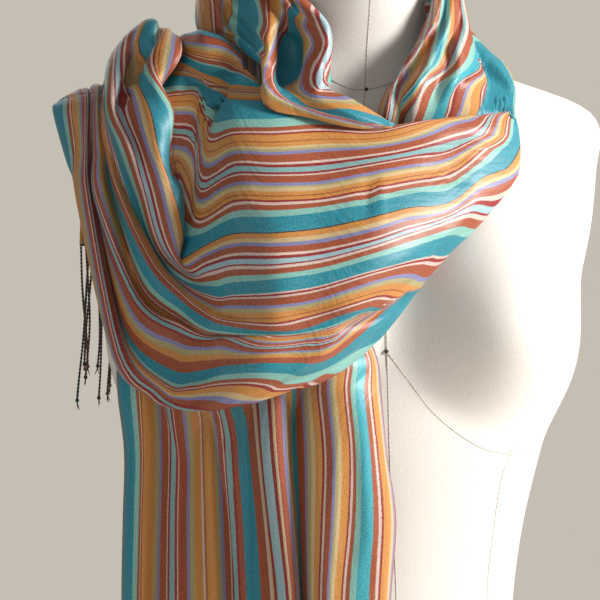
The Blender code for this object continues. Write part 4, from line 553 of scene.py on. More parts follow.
TAIL_CHART = (
    (0, AMBER), (1.2, TEAL), (13.6, MINT), (17.5, RUST), (19.4, CREAM), (20.3, RED), (21.2, ORANGE),
    (29, OLIVE), (32.5, VIOLET), (34.6, RUST), (39.6, WHITE), (40.5, RED), (42, AQUA), (46, RED),
    (47.8, WHITE), (48.6, RUST), (54.6, VIOLET), (56.6, OLIVE), (59.6, ORANGE), (64.4, WHITE),
    (65.6, AMBER), (67, ORANGE), (73.6, OLIVE), (76.4, VIOLET), (78.6, RUST), (83.6, WHITE),
    (84.6, RED), (86.4, AQUA), (90.4, RED), (92, RUST), (94.4, TEAL), (101, RUST), (106.6, WHITE),
    (108, CREAM), (109.6, RED), (111.8, SKY), (118, RED), (120.6, CREAM), (122, WHITE), (122.8, RUST),
    (127.8, VIOLET), (130.6, CREAM), (134.6, ORANGE), (139, TEAL), (144, RUST), (149, VIOLET),
    (151, OLIVE), (153.4, CREAM), (156, ORANGE), (160, RED), (161.4, WHITE), (162.6, RUST),
    (166.6, VIOLET), (168.6, OLIVE), (170.4, CREAM), (172.6, ORANGE), (177.2, RED), (178.4, WHITE),
    (179.6, RUST), (182, MINT), (185, PAINTED_LIT_TEAL), (191, RUST), (193.2, WHITE), (194, RED), (195, ORANGE),
    (197.4, CREAM), (198.6, VIOLET), (199.3, RUST),
)
LEFT_CHART = (
    (-6, TEAL), (0, ORANGE), (4, AMBER), (5, ORANGE), (10, RUST), (12, WHITE), (13, RED), (14.5, RUST),
    (20, VIOLET), (21.5, OLIVE), (23, ORANGE), (28, RUST), (29, MINT), (33, TEAL), (48, MINT),
    (52, RUST), (56, WHITE), (57.2, RED), (58.5, RUST), (60, ORANGE), (66, OLIVE), (68, CREAM),
    (70, VIOLET), (73, RUST), (79, WHITE), (80, RED), (82, TEAL), (94, ORANGE), (98, OLIVE),
    (100, CREAM), (101.4, VIOLET), (104, RUST), (109, WHITE), (110.5, RED), (113, SKY), (118, RED),
    (120, WHITE), (121.4, RUST), (124, MINT), (127, PAINTED_LIT_TEAL),
)
RIGHT_CHART = (
    (0, TEAL), (6, MINT), (8, RUST), (10, WHITE), (11, RED), (12, ORANGE), (17, OLIVE), (20, VIOLET),
    (22, RUST), (27, WHITE), (28, RED), (29.5, AQUA), (33, RED), (34, RUST), (38, VIOLET), (40, OLIVE),
    (44, ORANGE), (49, RUST), (52, MINT), (55, TEAL), (59, MINT), (62, ORANGE), (66, RUST), (71, RED),
    (73, AQUA), (75.5, WHITE), (78.5, RUST), (85, MINT), (91, PAINTED_LIT_TEAL), (99, RUST), (100.2, WHITE),
    (101.5, RED), (103, RUST), (106, VIOLET), (108, CREAM), (112, ORANGE), (116, RED), (117, WHITE),
    (118, RUST), (121, MINT), (123, TEAL),
)

# Near the right edge the stripes rise to the shoulder: chart place for a cloth place, by section.
COWL_SHIFTS = {
    2: ((-60, -20), (24, 66), (36, 88), (43, 94.5), (77.5, 107), (97, 114.5), (103, 117.5), (118, 122.5),
        (128, 130), (181, 181), (187, 186), (196, 250), (230, 257), (261, 264), (272, 268), (358, 358)),
    3: ((-60, -20), (24, 66), (36, 88), (43, 94.5), (77.5, 107), (97, 114.5), (103, 117.5), (118, 122.5),
        (128, 127), (145, 140), (160, 154.5), (178, 168), (190, 173), (195, 256.5), (230, 258.5),
        (261, 262.5), (268, 267.5), (280, 274), (292, 281), (358, 340)),
    4: ((-60, -50), (26, 45), (36, 50), (45, 55), (51, 58.5), (59, 62), (67, 73), (75, 84), (83, 88),
        (92, 92), (97, 95), (108, 106), (115, 112), (128, 124), (140, 134.5), (149, 142.5), (160, 151),
        (172, 162), (178, 167), (187, 175), (191, 256), (230, 258.5),
        (261, 262.5), (268, 265.8), (280, 272), (290, 281), (358, 340)),
    5: ((-60, -60), (41, 46.5), (48, 50), (54.5, 55), (61, 58.5), (66, 61), (74, 70), (81.5, 77), (89, 83),
        (96, 88), (102, 92), (109.5, 99), (128, 122), (135, 132), (149, 147), (165, 160.5), (178, 171),
        (187, 180.5), (229, 187), (234, 255.8), (250, 258.5), (261, 261.5), (268, 265.5),
        (280, 271.5), (290, 286), (304, 296), (358, 340)),
    6: ((-60, -60), (181, 181), (187, 187), (230, 205), (250, 236), (261, 251), (269, 258), (280, 271),
        (291, 290), (303, 300), (358, 345)),
    7: ((-60, -60), (187, 187), (230, 193), (250, 212), (261, 243), (270, 258), (282, 277), (292, 292),
        (358, 358)),
    8: ((-60, -60), (187, 186), (200, 192), (230, 203), (246, 236), (261, 257), (272, 268.5), (284, 282),
        (358, 358)),
    9: ((-60, -60), (200, 198), (230, 206), (240, 226), (248, 245), (261, 258.5), (272, 271.5), (300, 300),
        (358, 358)),
}

# Where the stripes run in each loop section: place in the bunch, place in the stripe chart.
LEFT_STRIPES = (
    ((0, 65), (20, 70), (40, 78), (46, 84), (100, 92)),
    ((0, 63), (12, 68), (25, 76), (28, 84), (62, 93.5), (80, 98), (100, 101)),
    ((0, 61), (12, 66), (20, 70), (25, 74), (30, 80), (33, 84), (40, 94), (50, 98), (65, 102), (72, 104),
     (85, 109), (100, 113)),
    ((0, 58), (12, 62), (25, 69), (33, 78), (37, 82), (46.5, 94), (51, 98), (58, 101.5), (62, 104),
     (69, 109), (74, 112), (79, 117), (88, 121), (100, 127)),
    ((0, 44), (12, 50), (14, 60), (25, 66), (28, 70), (32, 73), (39, 79), (45, 82), (59, 94), (62.3, 100),
     (66.5, 104), (71.7, 109), (78.5, 113), (82.7, 118), (88, 121), (100, 127)),
    ((0, 24), (2, 25), (8, 29), (16, 36), (21, 39), (32, 47), (34, 60), (36, 63), (42, 69.5), (47.5, 73),
     (53, 79), (55, 82), (64.5, 94), (68, 98), (71.5, 101), (73.5, 104), (79, 109), (81, 110.5),
     (85, 113), (90, 118), (95, 121), (100, 125)),
    ((0, 0), (10, 8), (18, 20), (21, 29), (25, 33), (31, 38), (37.5, 48), (41, 54), (44.5, 60), (49, 66),
     (56, 70), (59, 73), (62.5, 79), (65, 93), (68, 97), (72, 101), (75, 104), (81, 109), (84, 112),
     (88, 115), (100, 122)),
    ((0, 0), (15, 10), (19, 14.5), (23, 20), (25.5, 23.5), (28, 28), (32, 33), (36, 38), (44, 48),
     (48, 52), (53, 57), (58, 60), (66, 66), (69, 70), (72, 73), (76, 79), (78, 93), (83, 100),
     (86, 103), (88, 104), (100, 109)),
    ((0, 0), (25, 22), (50, 50), (75, 76), (100, 108)),
    ((0, -3), (50, 52), (100, 108)),
    ((0, -5), (50, 54), (100, 112)),
    ((0, -6), (50, 54), (100, 114)),
    ((0, -4), (50, 48), (100, 102)),
    ((0, 4), (50, 42), (100, 82)),
    ((0, 12), (50, 36), (100, 60)),
    ((0, 29.4), (9, 33), (100, 47)),
    ((0, 29.4), (9, 33), (100, 47)),
    ((0, 29.4), (9, 33), (100, 47)),
)
RIGHT_STRIPES = (
    ((0, 12), (10, 27), (16, 34), (22, 66), (30, 75.5), (36, 78.5), (42, 85), (50, 91), (60, 99),
     (65, 103), (70, 106), (76, 110), (88, 114), (100, 117)),
    ((0, 12), (10, 27), (16, 34), (22, 66), (30, 75.5), (36, 78.5), (42, 85), (50, 91), (60, 99),
     (65, 103), (70, 106), (76, 110), (88, 114), (100, 117)),
    ((0, 8), (4, 14), (8, 27), (13, 33), (17, 38), (22, 45), (27, 54), (31, 64), (33.5, 75.5),
     (37, 78.5), (44.5, 85), (53.5, 91), (61, 99), (66.5, 103), (70, 106), (77, 112), (87, 117),
     (92, 119), (100, 123)),
    ((0, 20), (3, 22), (9, 30), (14, 38), (18, 43), (23.5, 49), (27, 52), (30.5, 55), (34, 59), (41, 66),
     (46.5, 71), (50.5, 75.5), (54.5, 78.5), (61, 85), (69, 91), (85, 99), (88, 101), (100, 104)),
    ((0, 17), (3, 20), (7, 27), (12, 40), (20, 49), (24, 52), (28.5, 55), (35, 59), (41, 63), (43, 66),
     (48, 71), (52.5, 73), (55.5, 75.5), (60, 78.5), (68, 85), (84, 90), (100, 96)),
    ((0, 22), (12, 44), (24, 55), (36, 61), (43, 66), (52, 71), (58, 73.5), (63, 75.5), (72, 78.5),
     (80, 83), (100, 92)),
    ((0, 30), (14, 50), (28, 57), (42, 65), (52, 71), (60, 75), (70, 79), (78, 84), (100, 92)),
    ((0, 26), (50, 66), (100, 96)),
    ((0, 20), (50, 62), (100, 100)),
    ((0, 16), (50, 60), (100, 104)),
    ((0, 12), (50, 58), (100, 106)),
    ((0, 10), (50, 58), (100, 108)),
)
# The same for the back tail, whose stripes follow the cowl's chart.
BACK_STRIPES = ((0, -60), (26, 47), (38, 100), (50, 150), (66, 216), (87, 302), (100, 358))

# Stripes that one colour ramp holds, and room after the last stripe of a chart.
RAMP_STRIPES = 31
CHART_MARGIN = 60.0

# Silk: each noise's repeats for a metre across and along, detail and roughness.
SILK_NOISES = {
    "thread": (260.0, 1900.0, 1.0, 0.5),
    "tone": (1400.0, 9.0, 2.0, 0.5),
    "fleck": (620.0, 1150.0, 2.0, 0.7),
    "rib": (900.0, 2600.0, 1.0, 0.5),
    "rumple": (34.0, 15.0, 2.5, 0.55),
    "ripple": (150.0, 26.0, 2.0, 0.5),
}
# How far stripe edges stray with the thread, and the heights of the relief, millimetres.
THREAD_STRAY = 1.2
RUMPLE_HEIGHT = 3.4
RIPPLE_HEIGHT = 0.75
RIB_HEIGHT = 0.10
# Ranges of the noise and what they become: tone, darker flecks, pale flecks, roughness.
SILK_TONES = (0.25, 0.75, 0.80, 1.16)
SILK_SHADES = (0.28, 0.50, 0.62, 1.0)
SILK_FLECKS = (0.50, 0.72, 0.0, 0.26)
SILK_ROUGHNESS = (0.0, 1.0, 0.34, 0.52)
FLECK_COLOUR = (0.66, 0.50, 0.36)
# Relief of both cloths: strength, and depth in metres.
SILK_BUMP = (0.55, 0.001)
CANVAS_BUMP = (0.22, 0.0003)

# Canvas: repeats of its yarn for a metre, its slant lines and its tones.
CANVAS_YARN = (700.0, 2300.0)
TWILL_REPEAT = 3900.0
TWILL_HEIGHT = 0.10
CANVAS_STOPS = ((0.36, (0.74, 0.685, 0.62)), (0.60, (0.93, 0.90, 0.86)))

# Seams of the canvas in photo places: neck, centre, under the bust, princess line, neckline.
SEAM_LINES = (
    ((24, 735), (22, 700), (18, 640), (16, 600)),
    ((33, 470), (33, 440), (34, 400), (36, 330), (40, 250), (42, 150), (42, 60), (42, 6)),
    ((33, 425), (50, 402), (70, 377), (100, 355), (125, 349), (150, 352)),
    ((128, 358), (118, 330), (112, 290), (108, 250), (112, 180), (118, 100), (120, 8)),
    ((-30, 640), (0, 622), (18, 619), (45, 628), (75, 652), (96, 674)),
)
# Upright seams: degrees round the form, and the heights between which they run.
SEAM_ANGLES = (90.0, 0.0, 180.0, 52.0, 128.0)
SEAM_HEIGHTS = (6, 728)
SEAM_LIFT = 0.05
SEAM_RADIUS = 0.32
THREAD_KNOTS = ((18, 619), (33, 425))
KNOT_LIFTS = (-0.4, 0.3, 1.0, 1.5)
THREAD_KNOT_RADII = (0.9, 1.5, 1.3, 0.4)
STITCHES_PER_METRE = 310.0
STITCH_GAP = 0.62
# First UV value by which the seam material tells a seam from a knot.
SEAM_TINT = 0.3
KNOT_TINT = 0.9
# Between the stitches the seam is painted dark with the shade of a groove.
GROOVE_SHADE_COLOUR = (0.44, 0.39, 0.33)
STITCH_COLOUR = (0.72, 0.68, 0.61)
KNOT_COLOUR = (0.070, 0.050, 0.035)
RAY_OUT = 400.0

# Each fringe: number of cords, least share of the full drop, sideways lean, random seed.
FRONT_FRINGE = (60, 0.90, 2.4, 11)
BACK_FRINGE = (24, 0.66, 3.4, 12)
# Strip that the cords grow from, and the path of a cord.
STRIP_INSET = 0.8
STRIP_DROP = 1.1
STRIP_RADIUS = 1.0
STRIP_TINT = 0.2
CORD_INSET = 2.0
CORD_JITTER = 0.8
ROOT_DROP = 1.2
CORD_RING_STEP = 1.15
CORD_BOW = (2.2, 1.4)
CORD_SWAY = (1.1, 0.7, 0)
SWAY_TURN = 6.5
# The two plies of a cord.
PLY_PITCH = 5.6
PLY_OFFSET = 0.48
PLY_RADIUS = 0.55
PLY_SWELL = 0.06
SWELL_TURN = 9
TINT_RANGE = 0.95
PLY_TINT_STEP = 0.37
# End knot and the tuft under it.
KNOT_RINGS = 7
KNOT_LENGTH = 3.6
KNOT_LEAN = (0.12, 0.05, -1.0)
KNOT_THIN = 0.25
KNOT_SWELL = 1.35
TUFT_COUNT = 3
TUFT_DROP = 1.4
TUFT_SPREAD = 0.9
TUFT_LENGTHS = (3.2, 6.0)
TUFT_MARKS = (0, 0.55, 1.0)
TUFT_RADII = (0.5, 0.42, 0.16)
TUFT_TINT_STEP = 0.3
# Cord colours by tint, and the cords' grain as for the silk.
CORD_STOPS = (
    (0.0, (0.020, 0.012, 0.010)), (0.34, (0.090, 0.035, 0.018)), (0.58, (0.150, 0.060, 0.025)),
    (0.74, (0.010, 0.060, 0.075)), (0.86, (0.035, 0.018, 0.014)),
)
CORD_GRAIN = (40.0, 900.0, 2.0, 0.6)

# Stage: floor disc, camera and tones. Places of the camera and the lights are in metres.
FLOOR_SIDES = 96
FLOOR_RADIUS = 1500.0
FLOOR_LEVEL = -0.2
FLOOR_COLOUR = (0.70, 0.67, 0.62)
LENS_LENGTH = 162.0
SENSOR_WIDTH = 36.0
CAMERA_PLACE = (-0.6475, -1.8925, 0.463)
SKY_COLOUR = (0.60, 0.58, 0.56, 1.0)
SKY_STRENGTH = 0.31
WALL_COLOUR = (0.56, 0.52, 0.45, 1.0)
# Each light: name, place, size, power, colour.
LIGHTS = (
    ("key", (1.55, -0.95, 1.15), 0.6, 56.0, (1.0, 0.97, 0.94)),
    ("fill", (-1.6, -1.3, 1.0), 1.8, 7.0, (0.96, 0.97, 1.0)),
    ("back", (0.2, 1.7, 1.4), 1.6, 10.0, (1.0, 0.98, 0.95)),
)
LIGHT_AIM = (0, 0, 0.45)


def seen(across, height, out):
    """Front-elevation millimetres to a point of the object, millimetres."""
    near = 1.0 - out / VIEW_DISTANCE
    flat = EYE_ACROSS + (across - EYE_ACROSS) * near
    up = EYE_HEIGHT + (height - EYE_HEIGHT) * near
    turn = math.radians(TURN_DEG)
    x = flat * math.cos(turn) - out * math.sin(turn)
    y = -flat * math.sin(turn) - out * math.cos(turn)
    return (x, y, up)


def cubic(p0, p1, p2, p3, t0, t1, t2, t3, t):
    """Hermite span between t1 and t2 with slopes from the neighbours."""
    span = t2 - t1
    slope1 = (p2 - p0) / max(t2 - t0, 1e-6) * span
    slope2 = (p3 - p1) / max(t3 - t1, 1e-6) * span
    u = (t - t1) / span
    h1 = 2 * u ** 3 - 3 * u ** 2 + 1
    h2 = u ** 3 - 2 * u ** 2 + u
    h3 = -2 * u ** 3 + 3 * u ** 2
    h4 = u ** 3 - u ** 2
    return h1 * p1 + h2 * slope1 + h3 * p2 + h4 * slope2


def through(marks, points, wanted):
    """Smooth curve through points at marks, read at the wanted marks."""
    marks = list(marks)
    points = np.asarray(points, float)
    result = []
    for t in wanted:
        t = min(max(t, marks[0]), marks[-1])
        i = 0
        while i < len(marks) - 2 and t > marks[i + 1]:
            i += 1
        before = max(i - 1, 0)
        after = min(i + 2, len(marks) - 1)
        result.append(cubic(
            points[before], points[i], points[i + 1], points[after],
            marks[before], marks[i], marks[i + 1], marks[after], t))
    return np.array(result)


def between(lines, per_span):
    """Smooth lines through the sections' lines, a number of them for each span."""
    count = len(lines)
    wanted = [i / per_span for i in range((count - 1) * per_span + 1)]
    return through(range(count), np.array(lines, float).reshape(count, -1), wanted)


def loft(sections, rows, per_span):
    """Net of points: one line of rows for each column along the sections."""
    lines = []
    for section in sections:
        marks = [k[0] for k in section]
        points = [seen(*k[1:]) for k in section]
        lines.append(through(marks, points, rows))
    return between(lines, per_span).reshape(-1, len(rows), 3)


def level_sections(levels):
    """Sections given by height become sections of full points."""
    return [[(k[0], k[1], height, k[2]) for k in keys] for height, keys in levels]


def normals(net):
    """Unit normals of a net, pointing away from the wearer."""
    along = np.gradient(net, axis=0)
    over = np.gradient(net, axis=1)
    n = np.cross(along, over)
    size = np.linalg.norm(n, axis=2, keepdims=True)
    return n / np.maximum(size, 1e-9)


def smooth_rings():
    """The form's ring table, eased between its rows."""
    table = np.array(FORM_RINGS, float)
    heights = np.arange(0.0, table[-1, 0] + 0.5, 1.0)
    return heights, through(table[:, 0], table[:, 1:], heights)


RING_HEIGHTS, RING_VALUES = smooth_rings()


def form_ring(height):
    """Half width, front depth, back depth and roundness at a height."""
    return [float(np.interp(height, RING_HEIGHTS, RING_VALUES[:, k])) for k in range(4)]


def form_point(height, angle):
    """Point of the form at a height and an angle round it."""
    half, front, back, roundness = form_ring(height)
    c = math.cos(angle)
    s = math.sin(angle)
    x = half * math.copysign(abs(c) ** (2 / roundness), c)
    depth = front if s < 0 else back
    y = depth * math.copysign(abs(s) ** (2 / roundness), s)
    if s < 0:
        for side in (-1, 1):
            dx = (x - side * BUST_SPACING / 2) / BUST_HALF_WIDTH
            dz = (height - BUST_HEIGHT) / (BUST_REACH_UP if height > BUST_HEIGHT else BUST_REACH_DOWN)
            d = dx * dx + dz * dz
            if d < 1:
                y -= BUST_DEPTH * (1 - d) ** 2
    dz = (height - SPREAD_HEIGHT) / (SPREAD_REACH_UP if height > SPREAD_HEIGHT else SPREAD_REACH_DOWN)
    if abs(dz) < 1:
        turn = min(max((SPREAD_START - s) / SPREAD_EASE, 0.0), 1.0)
        x += c * abs(c) ** 2 * BUST_SPREAD * turn * turn * (3 - 2 * turn) * (1 - dz * dz) ** 2
    return (x, y, height)


def form_rings(around, step):
    """Rings of form points from the floor to the neck top."""
    heights = []
    marks = [r[0] for r in FORM_RINGS]
    for low, high in zip(marks[:-1], marks[1:]):
        count = max(1, int(round((high - low) / step)))
        heights += [low + (high - low) * i / count for i in range(count)]
    heights.append(marks[-1])
    return [[form_point(h, 2 * math.pi * i / around) for i in range(around)] for h in heights]


def closed_rings(rings):
    """Vertices and faces of a solid through closed rings, capped at both ends."""
    around = len(rings[0])
    verts = [p for ring in rings for p in ring]
    faces = []
    for r in range(len(rings) - 1):
        for i in range(around):
            j = (i + 1) % around
            a = r * around
            b = a + around
            faces.append((a + i, a + j, b + j, b + i))
    for ring_at, flip in ((0, True), (len(rings) - 1, False)):
        centre = np.mean(np.array(rings[ring_at]), axis=0)
        verts.append(tuple(centre))
        hub = len(verts) - 1
        a = ring_at * around
        for i in range(around):
            j = (i + 1) % around
            faces.append((a + j, a + i, hub) if flip else (a + i, a + j, hub))
    return verts, faces


def sheet_tree(net):
    """Search tree of a net for pushing other layers off it."""
    columns, rows = net.shape[:2]
    verts = [tuple(p) for p in net.reshape(-1, 3)]
    faces = []
    for i in range(columns - 1):
        for j in range(rows - 1):
            a = i * rows + j
            faces.append((a, a + rows, a + rows + 1, a + 1))
    return BVHTree.FromPolygons(verts, faces)


def push(net, tree, gap, reach):
    """Move net points off a surface so that at least the gap is left."""
    result = net.copy()
    for index in np.ndindex(net.shape[:2]):
        for _ in range(2):
            point = Vector(result[index])
            where, normal, _face, _distance = tree.find_nearest(point)
            if where is None:
                break
            offset = point - where
            depth = offset.dot(normal)
            if offset.length > reach and depth < 0:
                break
            if depth < gap and (offset.length < gap or depth < 0):
                result[index] = np.array(point + normal * (gap - depth))
    return result


def wall(net, thickness, keep=None):
    """Closed thin solid round the kept cells of a net."""
    columns, rows = net.shape[:2]
    n = normals(net)
    outer = (net + n * thickness / 2).reshape(-1, 3)
    inner = (net - n * thickness / 2).reshape(-1, 3)
    verts = [tuple(p) for p in outer] + [tuple(p) for p in inner]
    shift = columns * rows
    faces = []
    edges = set()
    for i in range(columns - 1):
        for j in range(rows - 1):
            if keep is not None and not keep(i, j):
                continue
            a = i * rows + j
            b = a + rows
            faces.append((a, b, b + 1, a + 1))
            faces.append((a + 1 + shift, b + 1 + shift, b + shift, a + shift))
            edges |= {(a, b), (b, b + 1), (b + 1, a + 1), (a + 1, a)}
    for a, b in sorted(edges):
        if (b, a) not in edges:
            faces.append((b, a, a + shift, b + shift))
    used = sorted({k for face in faces for k in face})
    place = {k: i for i, k in enumerate(used)}
    return [verts[k] for k in used], [tuple(place[k] for k in face) for face in faces], used


def photo_grid(net):
    """Across, height and out of every net point, as the camera sees them."""
    turn = math.radians(TURN_DEG)
    x, y, z = net[..., 0], net[..., 1], net[..., 2]
    out = -(x * math.sin(turn) + y * math.cos(turn))
    flat = x * math.cos(turn) - y * math.sin(turn)
    near = 1.0 - out / VIEW_DISTANCE
    return EYE_ACROSS + (flat - EYE_ACROSS) / near, EYE_HEIGHT + (z - EYE_HEIGHT) / near, out


def crease(net, creases):
    """Soft troughs and ridges along given short lines of the photo view."""
    n = normals(net)
    across, height, out = photo_grid(net)
    shift = np.zeros(net.shape[:2])
    for line, width, depth, least_out, side in creases:
        line = np.array(line, float)
        best = np.full(net.shape[:2], FAR)
        fade = np.zeros(net.shape[:2])
        signed = np.zeros(net.shape[:2])
        lengths = np.linalg.norm(np.diff(line, axis=0), axis=1)
        marks = np.concatenate(([0.0], np.cumsum(lengths))) / lengths.sum()
        for k in range(len(line) - 1):
            a = line[k]
            d = line[k + 1] - a
            t = ((across - a[0]) * d[0] + (height - a[1]) * d[1]) / max(d.dot(d), TINY)
            t = np.clip(t, 0, 1)
            away = np.hypot(across - a[0] - t * d[0], height - a[1] - t * d[1])
            place = marks[k] + (marks[k + 1] - marks[k]) * t
            nearer = away < best
            turned = d[0] * (height - a[1]) - d[1] * (across - a[0])
            signed = np.where(nearer, np.copysign(away, turned) * side, signed)
            best = np.where(nearer, away, best)
            swell = np.sin(np.pi * np.clip(place, CREASE_END, 1 - CREASE_END)) ** CREASE_FADE
            fade = np.where(nearer, swell, fade)
        amount = np.exp(-(best / width) ** 2) * fade * depth
        if side:
            step = np.clip((signed + SIDE_START) / SIDE_EASE, 0, 1)
            amount = amount * step * step * (3 - 2 * step)
        shift += np.where(out > least_out, amount, 0.0)
    return net + n * shift[:, :, None]


def chart_places(rows, table):
    """Stripe chart places for rows of the cloth, from a table of both."""
    return np.interp(rows, [k[0] for k in table], [k[1] for k in table])


def stripe_marks(table, rows):
    """Stripe chart places for each net point of a bunched loop, whose rows run backwards."""
    return between([chart_places(rows, line) for line in table], OTHER_PER_SPAN)[:, ::-1]


def cowl_marks(rows):
    """Stripe chart places for each net point of the cowl."""
    lines = []
    for k in range(len(COWL)):
        shift = COWL_SHIFTS.get(max(k, COWL_FIRST_SECTION))
        lines.append(rows if shift is None else chart_places(rows, shift))
    return between(lines, COWL_PER_SPAN)


def lengths_along(net):
    """Length along the cloth of every net point, millimetres."""
    steps = np.linalg.norm(np.diff(net, axis=0), axis=2)
    start = np.zeros((1, net.shape[1]))
    return np.concatenate((start, np.cumsum(steps, axis=0)))


def mesh_piece(name, verts, faces, material, uv=None, weave=None):
    """Mesh object in metres from points in millimetres."""
    mesh = bpy.data.meshes.new(name)
    mesh.from_pydata([tuple(c * MM for c in v) for v in verts], [], faces)
    corners = np.zeros(len(mesh.loops), np.int32)
    mesh.loops.foreach_get("vertex_index", corners)
    for title, values in (("cloth", uv), ("weave", weave)):
        if values is not None:
            layer = mesh.uv_layers.new(name=title)
            layer.data.foreach_set("uv", np.asarray(values, np.float32)[corners].reshape(-1))
    mesh.polygons.foreach_set("use_smooth", [True] * len(mesh.polygons))
    mesh.update()
    mesh.materials.append(material)
    obj = bpy.data.objects.new(name, mesh)
    bpy.context.scene.collection.objects.link(obj)
    return obj


def cloth_piece(name, net, marks, material, keep=None):
    """Thin closed shell on a net, with UV maps of the stripe place and of the true width, by length."""
    verts, faces, used = wall(net, SHELL_WALL, keep)
    source = np.array(used) % (net.shape[0] * net.shape[1])
    along = lengths_along(net).reshape(-1)
    across = lengths_along(net.transpose(1, 0, 2)).T.reshape(-1)
    stripes = np.broadcast_to(marks, net.shape[:2]).reshape(-1)
    uv = np.stack((stripes[source] * MM, along[source] * MM), axis=1)
    weave = np.stack((across[source] * MM, along[source] * MM), axis=1)
    return mesh_piece(name, verts, faces, material, uv, weave)


class Graph:
    """Short hand for building a material's node tree on the UV maps."""

    def __init__(self, name, grain_map="cloth"):
        self.material = bpy.data.materials.new(name)
        self.material.use_nodes = True
        self.tree = self.material.node_tree
        self.shader = self.tree.nodes["Principled BSDF"]
        self.across, self.along = self.places(grain_map)

    def add(self, kind, **props):
        node = self.tree.nodes.new(kind)
        for key, value in props.items():
            setattr(node, key, value)
        return node

    def link(self, out, into):
        self.tree.links.new(out, into)

    def put(self, value, socket):
        if isinstance(value, (int, float)):
            socket.default_value = value
        elif isinstance(value, tuple):
            socket.default_value = value if len(value) == len(socket.default_value) else value + (1.0,)
        else:
            self.link(value, socket)

    def surface(self, values):
        """Values or node outputs for named inputs of the shader."""
        for title, value in values.items():
            self.put(value, self.shader.inputs[title])

    def places(self, uv_map):
        """Both coordinates of a UV map."""
        uv = self.add("ShaderNodeUVMap", uv_map=uv_map)
        parts = self.add("ShaderNodeSeparateXYZ")
        self.link(uv.outputs[0], parts.inputs[0])
        return parts.outputs[0], parts.outputs[1]

    def math(self, operation, a, b=0.0, clamp=False):
        node = self.add("ShaderNodeMath", operation=operation, use_clamp=clamp)
        self.put(a, node.inputs[0])
        self.put(b, node.inputs[1])
        return node.outputs[0]

    def mix(self, factor, a, b):
        node = self.add("ShaderNodeMix", data_type="RGBA", blend_type="MIX")
        self.put(factor, node.inputs[0])
        self.put(a, node.inputs[6])
        self.put(b, node.inputs[7])
        return node.outputs[2]

    def noise(self, across, along, detail=2.0, roughness=0.5):
        """Noise with so many repeats for each metre across the cloth and along it."""
        stretched = self.add("ShaderNodeCombineXYZ")
        self.put(self.math("MULTIPLY", self.across, across), stretched.inputs[0])
        self.put(self.math("MULTIPLY", self.along, along), stretched.inputs[1])
        node = self.add("ShaderNodeTexNoise")
        for title, value in (("Scale", 1.0), ("Detail", detail), ("Roughness", roughness)):
            node.inputs[title].default_value = value
        self.link(stretched.outputs[0], node.inputs["Vector"])
        return node.outputs["Fac"]

    def remap(self, value, low, high, least, most):
        """Value with its range from low to high stretched to the range from least to most."""
        node = self.add("ShaderNodeMapRange")
        for k, number in enumerate((value, low, high, least, most)):
            self.put(number, node.inputs[k])
        return node.outputs[0]

    def scale(self, colour, amount):
        """Colour made lighter or darker by a factor."""
        node = self.add("ShaderNodeVectorMath", operation="SCALE")
        self.link(colour, node.inputs[0])
        self.link(amount, node.inputs[3])
        return node.outputs[0]

    def ramp(self, place, stops, interpolation="LINEAR"):
        """Colour at a place, from stops of place and colour."""
        node = self.add("ShaderNodeValToRGB")
        node.color_ramp.interpolation = interpolation
        elements = node.color_ramp.elements
        for k, (position, colour) in enumerate(stops):
            if k < 2:
                stop = elements[k]
                stop.position = position
            else:
                stop = elements.new(position)
            stop.color = colour + (1.0,)
        self.link(place, node.inputs[0])
        return node.outputs[0]

    def bump(self, height, strength, distance):
        """Fine relief of the surface."""
        node = self.add("ShaderNodeBump")
        node.inputs["Strength"].default_value = strength
        node.inputs["Distance"].default_value = distance
        self.link(height, node.inputs["Height"])
        self.link(node.outputs[0], self.shader.inputs["Normal"])


def chart_colour(graph, chart, place):
    """Colour of the stripe chart at a place, from ramps of a limited number of stripes."""
    colour = None
    for start in range(0, len(chart) - 1, RAMP_STRIPES):
        group = chart[start:start + RAMP_STRIPES]
        low = group[0][0]
        after = group[-1][0] + CHART_MARGIN
        if start + RAMP_STRIPES < len(chart):
            after = chart[start + RAMP_STRIPES][0]
        span = after - low
        stops = [((mark - low) / span, stripe) for mark, stripe in group]
        inside = graph.math("DIVIDE", graph.math("SUBTRACT", place, float(low)), float(span), True)
        stripes = graph.ramp(inside, stops, "CONSTANT")
        if colour is None:
            colour = stripes
        else:
            colour = graph.mix(graph.math("GREATER_THAN", place, float(low)), colour, stripes)
    return colour


def silk(name, chart):
    """Satin silk with woven lengthwise stripes, from the stripe chart and the cloth's UV maps."""
    graph = Graph(name, "weave")
    grain = {title: graph.noise(*values) for title, values in SILK_NOISES.items()}
    place = graph.math("MULTIPLY", graph.places("cloth")[0], 1 / MM)
    strayed = graph.math("MULTIPLY", graph.math("SUBTRACT", grain["thread"], 0.5), THREAD_STRAY)
    colour = chart_colour(graph, chart, graph.math("ADD", place, strayed))
    toned = graph.scale(colour, graph.remap(grain["tone"], *SILK_TONES))
    darker = graph.scale(toned, graph.remap(grain["fleck"], *SILK_SHADES))
    woven = graph.mix(graph.remap(grain["fleck"], *SILK_FLECKS), darker, FLECK_COLOUR)
    rumple = graph.math("MULTIPLY", grain["rumple"], RUMPLE_HEIGHT)
    ripple = graph.math("MULTIPLY", grain["ripple"], RIPPLE_HEIGHT)
    rib = graph.math("MULTIPLY", grain["rib"], RIB_HEIGHT)
    graph.bump(graph.math("ADD", graph.math("ADD", rumple, ripple), rib), *SILK_BUMP)
    graph.surface({
        "Base Color": woven,
        "Roughness": graph.remap(grain["fleck"], *SILK_ROUGHNESS),
        "Sheen Weight": 0.10,
        "Sheen Roughness": 0.45,
        "Specular IOR Level": 0.5,
    })
    return graph.material


